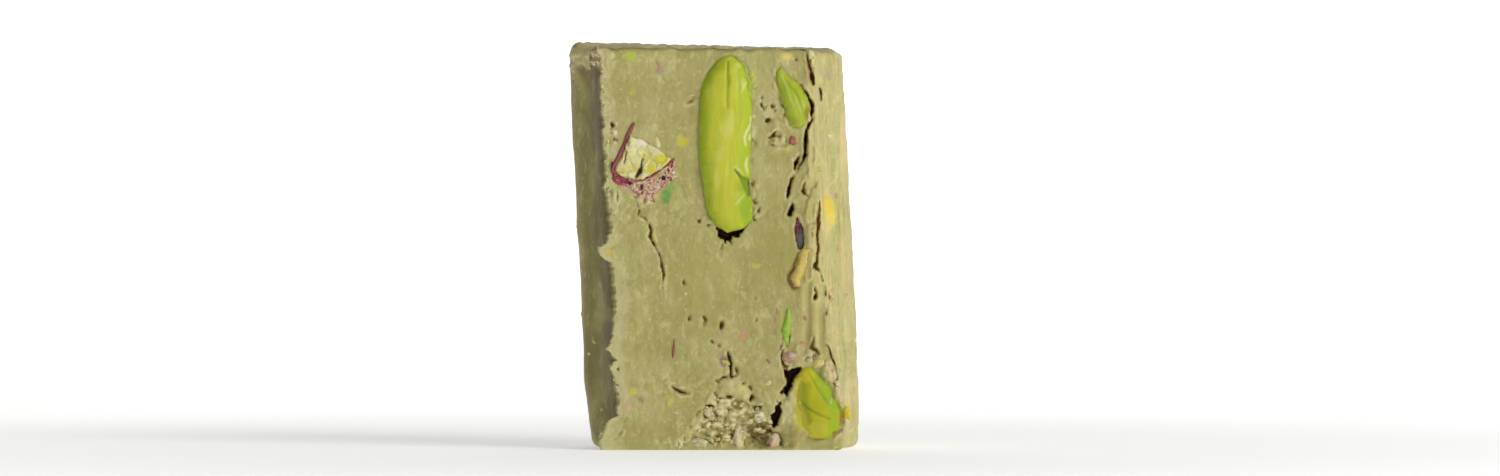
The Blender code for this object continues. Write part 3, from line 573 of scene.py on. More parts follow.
def close_material(maker, base, roughness, height, distance, constants):
    """Ends a material: its colour, its roughness and fine relief of that height in metres."""
    values = {"Strength": 1.0, "Distance": distance, "Height": height}
    normal = maker.wire("ShaderNodeBump", {}, values)
    values = {"Base Color": base, "Roughness": roughness, "Normal": normal}
    shader = maker.wire("ShaderNodeBsdfPrincipled", {}, {**values, **constants})
    maker.add("ShaderNodeOutputMaterial", {}, {"Surface": shader})


FOOD = {
    "IOR": 1.45,
    "Subsurface Weight": 0.12,
    "Subsurface Radius": (1.0, 0.8, 0.35),
    "Subsurface Scale": 0.4 * MM,
}


def paste_material(colours):
    """Pressed paste: streaked and mottled, specks of nut, brown painted shade in cracks and on the
    left flank.
    """
    material, maker, place = new_material("pistachio_paste")
    upright = maker.stretched(place, (1.0, 1.0, 0.6))
    streaks = maker.noise(maker.stretched(place, (2.2, 2.2, 0.22)), 1.0, 4.0, 0.6, 0.4)
    broad = maker.noise(place, 0.26, 2.0, 0.5)
    warm = maker.noise(maker.stretched(place, (1.0, 1.0, 0.7)), 0.55, 3.0, 0.6, 0.5)
    blots = maker.noise(upright, 1.25, 4.0, 0.7, 0.6)
    mottle = maker.noise(upright, 4.2, 4.0, 0.65)
    grain = maker.noise(place, 14.0, 3.0, 0.6)
    cells = maker.wire("ShaderNodeTexVoronoi", {}, {0: place, 2: 1.9})
    cell_colour = maker.wire("ShaderNodeTexVoronoi", {}, {0: place, 2: 1.9}, 1)
    pick = maker.wire("ShaderNodeSeparateColor", {}, {0: cell_colour}, 0)
    flank = maker.attribute("flank")
    sideways, behind, _ = maker.parts(place)
    drawn = 0.32 + flank * (sideways.between(-8.0, 4.0) * 0.7 - 0.2)
    # Painted shade: darker in the hollow of the left flank beside the lip.
    groove_shade = (behind + (broad - 0.5) * 5.0).between(CUT_Y + 6.5, CUT_Y + 0.5)
    groove_shade = groove_shade * flank * sideways.between(0.0, -7.0)
    # Painted shade: the outside is darker towards the left, away from the light.
    outside = maker.mix(linear(160, 149, 80), colours.paste_flank, sideways.between(-8.0, 4.0))
    speck = (cells + (grain - 0.5) * 0.5).between(0.28, 0.04)
    green = pick.between(0.3, 0.34) * pick.between(0.42, 0.38)
    base = maker.layers(
        maker.mix(colours.paste, outside, flank),
        (colours.paste_light, streaks.between(0.5, 0.72) * drawn),
        (colours.paste_dark, streaks.between(0.5, 0.3) * drawn),
        (colours.paste_light, broad.between(0.48, 0.68) * 0.55),
        (linear(200, 180, 128), warm.between(0.52, 0.66) * 0.5),
        (linear(176, 168, 98), warm.between(0.48, 0.36) * 0.5),
        (linear(214, 205, 140), blots.between(0.54, 0.68) * 0.65),
        (colours.paste_dark, blots.between(0.46, 0.32) * 0.5),
        (colours.paste_dark, mottle.between(0.46, 0.3) * 0.35),
        (linear(222, 214, 158), mottle.between(0.56, 0.72) * 0.6),
        (linear(226, 218, 150), speck * pick.between(0.84, 0.9) * 0.5),
        (linear(198, 146, 112), speck * pick.between(0.16, 0.1) * 0.4),
        (linear(182, 184, 66), speck * green * 0.35),
        (linear(150, 128, 74), grain.between(0.36, 0.28) * 0.15),
    )
    # The painted shade is multiplied in along the hollow of the left flank.
    base = maker.mix(base, (0.45, 0.43, 0.38), groove_shade, "MULTIPLY")
    fresh = maker.attribute("torn") * (0.35 + grain * 0.9)
    base = maker.tinted(maker.mix(base, colours.torn, fresh.clamped()))
    # Painted shade: the share deep darkens cracks, pits, holes and gaps to brown and near black.
    deep = maker.attribute("deep")
    base = maker.layers(
        base,
        (linear(146, 112, 58), deep.between(0.02, 0.5)),
        (colours.shade, deep.between(0.35, 1.0)),
    )
    roughness = 0.46 + grain * 0.25 + flank * 0.1
    height = grain * 0.4 + mottle * 0.6
    close_material(maker, base, roughness, height, 0.022 * MM, FOOD)
    return material


def kernel_material(name, middle, edge, pale):
    """Nut flesh: green at its edges, yellower in the middle, fine lines along it, painted shade in
    its marks.
    """
    material, maker, place = new_material(name)
    lines = maker.noise(maker.stretched(place, (2.6, 2.6, 0.3)), 1.0, 3.0, 0.5, 0.5)
    patches = maker.noise(maker.stretched(place, (1.0, 1.0, 0.5)), 0.8, 3.0, 0.55)
    grain = maker.noise(place, 9.0, 3.0, 0.6)
    across = maker.attribute("across") + (patches - 0.5) * 0.7
    base = maker.layers(
        middle,
        (edge, across.between(0.4, 1.0) * 0.95),
        (edge, lines.between(0.5, 0.34) * 0.3),
        (pale, lines.between(0.57, 0.72) * 0.3),
        (pale, patches.between(0.56, 0.72) * 0.3),
        (edge, grain.between(0.42, 0.3) * 0.15),
        (linear(238, 236, 176), maker.attribute("torn")),
    )
    # Painted shade: darker green down in the furrows, the folds and the notch that the marks cut.
    base = maker.mix(maker.tinted(base), linear(120, 140, 12), maker.attribute("deep"))
    constants = {**FOOD, "Subsurface Weight": 0.3, "Subsurface Scale": 0.8 * MM}
    height = lines * 0.6 + grain * 0.3
    close_material(maker, base, 0.5 + grain * 0.25, height, 0.05 * MM, constants)
    return material


def core_material(colours):
    """Broken nut flesh: cream, with yellow patches and painted shade down in its cracks."""
    material, maker, place = new_material("nut_core_flesh")
    patches = maker.noise(place, 1.1, 3.0, 0.6)
    grain = maker.noise(place, 8.0, 4.0, 0.65)
    white = maker.noise(place, 2.4, 3.0, 0.6)
    base = maker.layers(
        colours.core,
        (colours.core_yellow, patches.between(0.62, 0.76) * 0.5),
        (linear(248, 244, 210), white.between(0.52, 0.66) * 0.8),
        (linear(246, 241, 200), grain.between(0.52, 0.7) * 0.5),
        (linear(208, 190, 96), grain.between(0.46, 0.3) * 0.5),
    )
    # Painted shade: dark brown down in the cracks of the nut.
    base = maker.mix(maker.tinted(base), linear(92, 48, 30), maker.attribute("deep"))
    constants = {**FOOD, "Subsurface Weight": 0.15}
    close_material(maker, base, 0.5 + grain * 0.25, grain, 0.09 * MM, constants)
    return material


def skin_material(colours):
    """Papery skin: dark pink with dark folds and pale flakes."""
    material, maker, place = new_material("nut_skin_paper")
    flakes = maker.noise(place, 4.0, 3.0, 0.6)
    grain = maker.noise(place, 16.0, 3.0, 0.6)
    base = maker.layers(
        colours.skin,
        (colours.skin_dark, flakes.between(0.5, 0.35) * 0.8),
        (linear(206, 118, 124), grain.between(0.54, 0.7) * 0.7),
    )
    base = maker.mix(maker.tinted(base), colours.skin_dark, maker.attribute("deep"))
    close_material(maker, base, 0.45 + grain * 0.3, grain + flakes, 0.05 * MM, FOOD)
    return material


def bit_material(name, pale, darker=0.55):
    """Loose bits: each has its own tint, with paler and darker spots."""
    material, maker, place = new_material(name)
    spots = maker.noise(place, 5.0, 3.0, 0.6)
    grain = maker.noise(place, 18.0, 3.0, 0.6)
    own = maker.attribute("tint", "Color")
    shaded = maker.mix(own, (0.42, 0.36, 0.3), 1.0, "MULTIPLY")
    base = maker.layers(
        own,
        (pale, spots.between(0.52, 0.72) * 0.45),
        (shaded, spots.between(0.46, 0.28) * darker),
    )
    close_material(maker, base, 0.45 + grain * 0.3, grain + spots, 0.03 * MM, FOOD)
    return material


# Meshes


def object_from(name, points, faces, material):
    """A new smooth object from points in millimetres and its faces."""
    mesh = bpy.data.meshes.new(name)
    mesh.from_pydata((np.asarray(points) * MM).tolist(), [], faces)
    mesh.update()
    mesh.shade_smooth()
    if material:
        mesh.materials.append(material)
    made = bpy.data.objects.new(name, mesh)
    bpy.context.scene.collection.objects.link(made)
    return made


def read_points(mesh):
    """Its points in millimetres and its normals at them."""
    places = np.empty(len(mesh.vertices) * 3)
    mesh.vertices.foreach_get("co", places)
    normals = np.empty(len(mesh.vertices) * 3)
    mesh.vertex_normals.foreach_get("vector", normals)
    return places.reshape(-1, 3) / MM, normals.reshape(-1, 3)


def write_points(mesh, points):
    """Puts points in millimetres into the mesh."""
    mesh.vertices.foreach_set("co", (points * MM).ravel())
    mesh.update()


def write_share(mesh, name, values):
    """A number at each point, for a material to read."""
    layer = mesh.attributes.new(name, "FLOAT", "POINT")
    layer.data.foreach_set("value", np.clip(values, -FAR, FAR))


def write_tint(mesh, tints):
    """A colour and its share at each point, as an array of four columns."""
    layer = mesh.attributes.new("tint", "FLOAT_COLOR", "POINT")
    layer.data.foreach_set("color", tints.ravel())


def settle(made):
    """Turns what an object's modifiers make into its plain mesh."""
    graph = bpy.context.evaluated_depsgraph_get()
    mesh = bpy.data.meshes.new_from_object(made.evaluated_get(graph))
    made.modifiers.clear()
    made.data = mesh


def run_tree(made, tree, values):
    """Gives an object a node tree with named input values, and settles it."""
    modifier = made.modifiers.new(tree.name, "NODES")
    modifier.node_group = tree
    for item in tree.interface.items_tree:
        if item.in_out == "INPUT" and item.name in values:
            modifier[item.identifier] = values[item.name]
    settle(made)


def new_tree(name, inputs):
    """A geometry tree with those inputs, its maker and its inputs as Wires by name."""
    tree = bpy.data.node_groups.new(name, "GeometryNodeTree")
    tree.is_modifier = True
    kinds = {
        "object": "NodeSocketObject", "material": "NodeSocketMaterial", "whole": "NodeSocketInt",
        "number": "NodeSocketFloat",
    }
    for key, kind in inputs.items():
        tree.interface.new_socket(key, in_out="INPUT", socket_type=kinds[kind])
    tree.interface.new_socket("Geometry", in_out="OUTPUT", socket_type="NodeSocketGeometry")
    maker = Maker(tree)
    group = maker.add("NodeGroupInput")
    return tree, maker, {key: Wire(maker, group.outputs[key]) for key in inputs}


def close_tree(maker, geometry, material):
    """Ends a tree: real meshes, shaded smooth, with their material."""
    whole = maker.wire("GeometryNodeRealizeInstances", {}, {0: geometry})
    smooth = maker.wire("GeometryNodeSetShadeSmooth", {}, {"Geometry": whole})
    done = maker.wire("GeometryNodeSetMaterial", {}, {"Geometry": smooth, "Material": material})
    maker.add("NodeGroupOutput", {}, {0: done})


# The bar of paste

# Across the cut, the points of the section lie that far apart from each of these x onwards.
STATIONS = ((-CORNER_X, 0.075), (-7.0, 0.1), (-2.5, 0.11), (4.0, 0.085))
LAST_STATION = CORNER_X - 0.04
# Points along a flank, round a lobe and to the middle of the back, and rings to the ends' middles.
FLANK_STEPS = 32
LOBE_STEPS = 26
BACK_STEPS = 7
TOP_RINGS = 32
FOOT_RINGS = 7
# Rows round the edges of the foot and the top.
FOOT_EDGE_ROWS = 5
TOP_EDGE_ROWS = 9
# Points closer than this, in metres, become one.
MERGED_WITHIN = 1e-6


def hollow_between(half_spacing, hollow):
    """The circle that joins two lobes: its radius, and how far it is from their centre line."""
    reach = (half_spacing**2 + hollow**2) / (2 * hollow)
    return reach - LOBE_RADIUS, reach - hollow


def right_half(flank_hollow):
    """The section from the right corner of the cut to the middle of the back.

    Points and the way out of the bar at each, in two columns each.
    """
    half = LOBE_SPACING / 2
    flank_radius, flank_out = hollow_between(LOBE_DEPTH, flank_hollow)
    back_radius, back_out = hollow_between(half, BACK_HOLLOW)
    flank_turn = math.atan2(LOBE_DEPTH, flank_out)
    back_turn = math.atan2(back_out, half)
    flank = math.pi - flank_turn * (np.arange(FLANK_STEPS) / FLANK_STEPS) ** 1.5
    lobe = np.linspace(-flank_turn, math.pi - back_turn, LOBE_STEPS, endpoint=False)
    back = np.linspace(-back_turn, -math.pi / 2, BACK_STEPS + 1)
    points = []
    outward = []
    for middle, radius, turns, side in (
        ((half + flank_out, 0.0), flank_radius, flank, -1),
        ((half, LOBE_DEPTH), LOBE_RADIUS, lobe, 1),
        ((0.0, LOBE_DEPTH + back_out), back_radius, back, -1),
    ):
        way = np.stack([np.cos(turns), np.sin(turns)], axis=1)
        points.append(np.array(middle) + radius * way)
        outward.append(side * way)
    return np.concatenate(points), np.concatenate(outward)


def make_section():
    """The section as a mesh of stations, with the way out and the shallower hollow at each."""
    ends = [start for start, _ in STATIONS[1:]] + [LAST_STATION]
    across = np.concatenate(
        [np.arange(start, end, gap) for (start, gap), end in zip(STATIONS, ends)]
    )
    front = np.stack([across, np.zeros_like(across)], axis=1)
    right, right_out = right_half(FLANK_HOLLOW)
    foot, _ = right_half(FOOT_HOLLOW)
    left = right[-2:0:-1] * (-1, 1)
    points = np.concatenate([front, right, left, front[:1]])
    outward = np.concatenate(
        [front / CORNER_X, right_out, right_out[-2:0:-1] * (-1, 1), front[:1] / CORNER_X]
    )
    shallow = np.zeros_like(points)
    wider = foot[0, 0] - CORNER_X
    shallow[: len(front), 0] = np.maximum(across, 0.0) * wider / CORNER_X
    shallow[len(front) : len(front) + len(right)] = foot - right
    flat = np.zeros((len(points), 1))
    made = object_from("section", np.concatenate([points, flat], axis=1), [], None)
    for name, values in (("outward", outward), ("shallow", shallow * MM)):
        layer = made.data.attributes.new(name, "FLOAT_VECTOR", "POINT")
        layer.data.foreach_set("vector", np.concatenate([values, flat], axis=1).ravel())
    return made


def drawn_in(height):
    """How far the side edges draw the outline in at a height."""
    tuck = FOOT_TUCK * np.clip(1 - height / FOOT_TUCK_HEIGHT, 0.0, 1.0) ** 2
    foot = np.clip(1 - height / FOOT_EDGE, 0.0, 1.0)
    top = np.clip((height - FACE_HEIGHT + TOP_EDGE) / TOP_EDGE, 0.0, 1.0)
    round_foot = FOOT_EDGE * (1 - np.sqrt(1 - foot**2))
    round_top = TOP_EDGE * (1 - np.sqrt(1 - top**2))
    return tuck + round_foot + round_top


def make_upright(row_height):
    """The rows up the bar as a mesh: how far each is drawn in, its share of the way to the
    middle of an end, and its height."""
    turn = np.linspace(0.0, math.pi / 2, FOOT_EDGE_ROWS)[:-1]
    foot_edge = FOOT_EDGE * (1 - np.cos(turn))
    straight = np.arange(FOOT_EDGE, FACE_HEIGHT - TOP_EDGE, row_height)
    turn = np.linspace(0.0, math.pi / 2, TOP_EDGE_ROWS)
    top_edge = FACE_HEIGHT - TOP_EDGE + TOP_EDGE * np.sin(turn)
    heights = np.concatenate([foot_edge, straight, top_edge])
    side = np.stack([drawn_in(heights), np.zeros_like(heights), heights], axis=1)
    foot = [(side[0, 0], s * (1 / MM), 0.0) for s in np.linspace(1, 0, FOOT_RINGS + 1)[:-1]]
    top = [(TOP_EDGE, s * (1 / MM), FACE_HEIGHT) for s in np.linspace(0, 1, TOP_RINGS + 1)[1:]]
    return object_from("upright", np.concatenate([foot, side, top]), [], None)


def bar_tree():
    """The bar: the section drawn along the upright, leaning, with its top end rising."""
    tree, maker, given = new_tree("Pressed bar", {
        "Section": "object", "Upright": "object", "Columns": "whole", "Rows": "whole",
        "Face Height": "number", "Top Rise": "number", "Lean": "number", "Lobe Depth": "number",
        "Foot Hollow Height": "number", "Cut": "number", "Material": "material",
    })
    grid = maker.wire(
        "GeometryNodeMeshGrid", {}, {"Vertices X": given["Columns"], "Vertices Y": given["Rows"]}
    )
    index = maker.wire("GeometryNodeInputIndex")
    column = maker.wire(
        "ShaderNodeMath", {"operation": "FLOOR"}, {0: (index + 0.5) / given["Rows"]}
    )
    row = index - column * given["Rows"]

    def sampled(source, what, place):
        """A vector of the source at an index, as three Wires."""
        mesh = maker.wire("GeometryNodeObjectInfo", {}, {0: source}, 4)
        if what:
            kind = {"data_type": "FLOAT_VECTOR"}
            field = maker.wire("GeometryNodeInputNamedAttribute", kind, {"Name": what})
        else:
            field = maker.wire("GeometryNodeInputPosition")
        settings = {"data_type": "FLOAT_VECTOR", "domain": "POINT"}
        values = {0: mesh, 1: field, 2: place}
        return maker.parts(maker.wire("GeometryNodeSampleIndex", settings, values))

    station = sampled(given["Section"], None, column)
    outward = sampled(given["Section"], "outward", column)
    shallow = sampled(given["Section"], "shallow", column)
    inset, cap, height = sampled(given["Upright"], None, row)
    fuller = 1.0 - height.between(0.0, given["Foot Hollow Height"])
    away = station[0] + shallow[0] * fuller - outward[0] * inset
    behind = station[1] + shallow[1] * fuller - outward[1] * inset
    away = away * (1.0 - cap)
    behind = behind + (given["Lobe Depth"] * 0.6 - behind) * cap
    climb = height / given["Face Height"]
    lean = given["Lean"] * (0.5 - climb)
    slope = 0.65 - away / given["Lobe Depth"] * 0.25
    rise = given["Top Rise"] * slope * climb**8.0 * (behind / given["Lobe Depth"]).at_most(1.0)
    place = maker.vector(away + lean, behind + given["Cut"], height + rise)
    bar = maker.wire("GeometryNodeSetPosition", {}, {0: grid, 2: place})
    joined = maker.wire("GeometryNodeMergeByDistance", {}, {0: bar, 2: MERGED_WITHIN})
    close_tree(maker, joined, given["Material"])
    return tree


# What the cut has been through: relief, cracks, pits, the hollow and what stands out.

# Stains, smudges and a few patches of painted shade: x, z, half width, half height, share,
# and the colour as it is seen.
SMUDGES = (
    (-8.55, 23.7, 0.35, 1.1, 0.55, (118, 96, 72)), (-7.8, 8.75, 0.5, 0.8, 0.6, (112, 86, 62)),
    (8.42, 27.65, 0.35, 0.35, 0.6, (170, 155, 130)), (9.23, 23.19, 0.2, 0.25, 0.8, (215, 170, 90)),
    (9.28, 14.85, 0.2, 0.3, 0.8, (212, 168, 92)), (8.68, 11.69, 0.22, 0.3, 0.8, (205, 160, 86)),
    (2.02, 11.76, 0.35, 0.22, 0.4, (160, 140, 84)), (0.55, 0.95, 0.8, 0.6, 0.6, (196, 164, 96)),
    # (2.9, 1.1) is painted shade in the recess at the right of the hollow.
    (2.9, 1.1, 0.8, 1.0, 0.5, (120, 112, 60)), (-0.85, 0.55, 0.4, 0.3, 0.8, (235, 228, 190)),
    (-8.3, 0.4, 0.5, 0.3, 0.5, (190, 200, 140)), (-2.83, 2.72, 0.18, 0.16, 0.7, (228, 220, 170)),
    (-6.3, 3.2, 0.4, 0.35, 0.6, (226, 184, 158)), (6.9, 17.9, 0.5, 1.0, 0.5, (196, 172, 92)),
    (4.45, 9.8, 0.1, 0.95, 0.6, (190, 150, 118)), (-3.0, 7.5, 0.08, 0.8, 0.6, (160, 96, 78)),
    (5.2, 2.2, 0.5, 1.3, 0.35, (214, 196, 140)), (6.0, 13.2, 0.5, 1.3, 0.5, (222, 198, 120)),
    (7.3, 16.0, 0.12, 1.0, 0.6, (140, 92, 44)), (7.1, 27.6, 0.4, 0.8, 0.5, (150, 104, 54)),
    (-1.46, 25.95, 0.45, 0.06, 0.6, (140, 70, 50)), (-3.1, 20.2, 0.26, 0.38, 0.6, (206, 150, 130)),
    (-4.8, 18.6, 0.6, 0.5, 0.35, (226, 214, 160)), (-9.0, 1.5, 0.3, 0.6, 0.4, (140, 148, 110)),
    (0.4, 4.45, 1.0, 0.4, 0.25, (208, 196, 120)), (-4.05, 28.0, 0.26, 0.55, 0.75, (186, 148, 130)),
    (-4.15, 28.3, 0.1, 0.5, 0.5, (140, 96, 84)), (-5.92, 26.4, 0.3, 0.4, 0.7, (188, 198, 80)),
    (-6.2, 29.0, 0.5, 0.45, 0.85, (190, 206, 76)), (5.37, 22.1, 0.4, 0.3, 0.6, (204, 206, 96)),
    (5.3, 29.0, 0.5, 0.45, 0.9, (240, 214, 120)), (3.2, 13.6, 0.36, 0.28, 0.7, (206, 200, 84)),
    (-6.0, 4.27, 0.45, 0.3, 0.7, (212, 210, 84)), (-3.3, 3.6, 0.3, 0.45, 0.6, (214, 206, 92)),
    (-5.33, 3.75, 0.3, 0.26, 0.6, (152, 116, 112)), (2.17, 8.46, 0.42, 0.34, 0.75, (216, 152, 132)),
    (6.43, 7.94, 0.26, 0.18, 0.8, (202, 100, 80)), (-2.96, 15.5, 0.24, 0.22, 0.6, (190, 130, 104)),
    (2.0, 4.6, 0.3, 0.3, 0.7, (226, 218, 96)), (-1.9, 25.65, 0.3, 0.24, 0.6, (206, 186, 60)),
    (1.3, 12.4, 0.5, 0.2, 0.35, (216, 208, 110)), (-7.2, 8.0, 0.5, 1.5, 0.35, (214, 206, 150)),
    (3.6, 20.6, 0.14, 0.14, 0.5, (200, 150, 120)), (0.2, 7.9, 0.2, 0.3, 0.4, (196, 140, 120)),
    (4.4, 11.0, 0.2, 0.2, 0.4, (200, 160, 120)), (-3.9, 12.8, 0.3, 0.3, 0.4, (216, 200, 110)),
    (2.3, 20.9, 0.5, 0.7, 0.3, (206, 214, 130)), (7.9, 4.9, 0.5, 0.5, 0.5, (224, 184, 140)),
    (8.32, 17.9, 0.5, 0.95, 1.0, (236, 204, 52)), (8.2, 18.6, 0.35, 0.5, 0.8, (232, 190, 70)),
    (8.45, 17.2, 0.5, 0.9, 0.85, (238, 214, 86)), (8.2, 16.8, 0.6, 1.2, 0.8, (226, 204, 110)),
    (8.3, 18.9, 0.4, 0.6, 0.6, (224, 200, 120)), (9.12, 26.2, 0.1, 0.34, 0.8, (232, 216, 110)),
    # (-9.3, 6.2) is painted shade low on the left flank.
    (8.45, 23.24, 0.14, 0.12, 0.9, (240, 232, 196)), (-9.3, 6.2, 1.0, 3.2, 0.4, (112, 102, 52)),
    (-2.45, 22.65, 0.4, 0.52, 0.9, (212, 202, 52)),
    (-4.35, 15.55, 0.34, 0.4, 0.85, (224, 206, 112)), (0.62, 6.45, 0.3, 0.5, 0.8, (160, 112, 124)),
    (0.8, 6.5, 0.2, 0.42, 0.85, (116, 66, 92)), (-3.66, 18.4, 0.34, 0.36, 0.97, (110, 164, 66)),
    (-3.46, 18.8, 0.34, 0.4, 0.97, (112, 170, 72)), (-3.24, 19.2, 0.32, 0.34, 0.85, (136, 182, 92)),
    (-1.75, 25.6, 0.28, 0.2, 0.6, (168, 108, 84)), (-2.0, 25.55, 0.12, 0.1, 0.8, (110, 60, 40)),
    (-4.1, 28.05, 0.2, 0.6, 0.6, (176, 128, 116)), (-2.6, 18.1, 0.4, 0.5, 0.4, (192, 200, 110)),
    # (-9.6, 28.0) and (-9.0, 27.6) are painted shade under the pale shoulder.
    (-9.6, 28.0, 0.5, 0.3, 0.6, (140, 112, 72)), (-9.0, 27.6, 0.3, 0.25, 0.5, (120, 90, 60)),
    (2.85, 27.3, 0.34, 0.75, 0.75, (204, 210, 92)), (2.8, 26.3, 0.24, 0.5, 0.5, (200, 204, 110)),
    (-7.66, 14.45, 0.3, 0.36, 0.85, (214, 184, 82)), (4.9, 22.72, 0.55, 0.26, 0.7, (214, 186, 154)),
    (-2.4, 4.55, 0.4, 0.16, 0.6, (226, 216, 158)), (7.75, 27.3, 0.3, 0.35, 0.7, (216, 204, 98)),
    (8.4, 27.8, 0.4, 0.5, 0.4, (180, 166, 124)), (5.0, 9.4, 0.25, 1.0, 0.5, (190, 194, 96)),
    (5.9, 6.5, 0.8, 0.4, 0.3, (190, 176, 120)), (4.6, 15.0, 2.2, 5.0, 0.4, (170, 160, 86)),
    (-1.5, 12.5, 3.2, 3.4, 0.2, (180, 172, 98)), (-3.6, 26.5, 2.6, 2.6, 0.3, (188, 174, 114)),
    (3.7, 22.0, 1.4, 6.0, 0.25, (194, 180, 122)), (-5.6, 22.6, 1.6, 1.2, 0.35, (224, 214, 160)),
    (-5.5, 19.6, 1.6, 0.9, 0.5, (216, 180, 150)), (-2.7, 19.0, 0.4, 0.5, 0.4, (190, 200, 110)),
    (5.1, 22.75, 0.45, 0.3, 0.6, (196, 172, 132)),
)


def paint(tint, laid, over):
    """Lays a colour wherever its share is above that of the tint that is there."""
    more = laid > tint[:, 3]
    tint[more, :3] = np.broadcast_to(over, (len(tint), 3))[more]
    tint[more, 3] = laid[more]


def blend(tint, share, towards, laid):
    """Draws the tints towards a colour by a share, and lays them at least that strongly."""
    tint[:, :3] += (np.array(towards) - tint[:, :3]) * share[:, None]
    tint[:, 3] = np.maximum(tint[:, 3], laid)


def paint_patches(tint, x, z, patches):
    """Paints round patches, given as in SMUDGES, into an array of tints."""
    for px, pz, wide, tall, share, seen in patches:
        away = np.hypot((x - px) / wide, (z - pz) / tall)
        paint(tint, share * ease(away, 1.3, 0.4), linear(*seen))


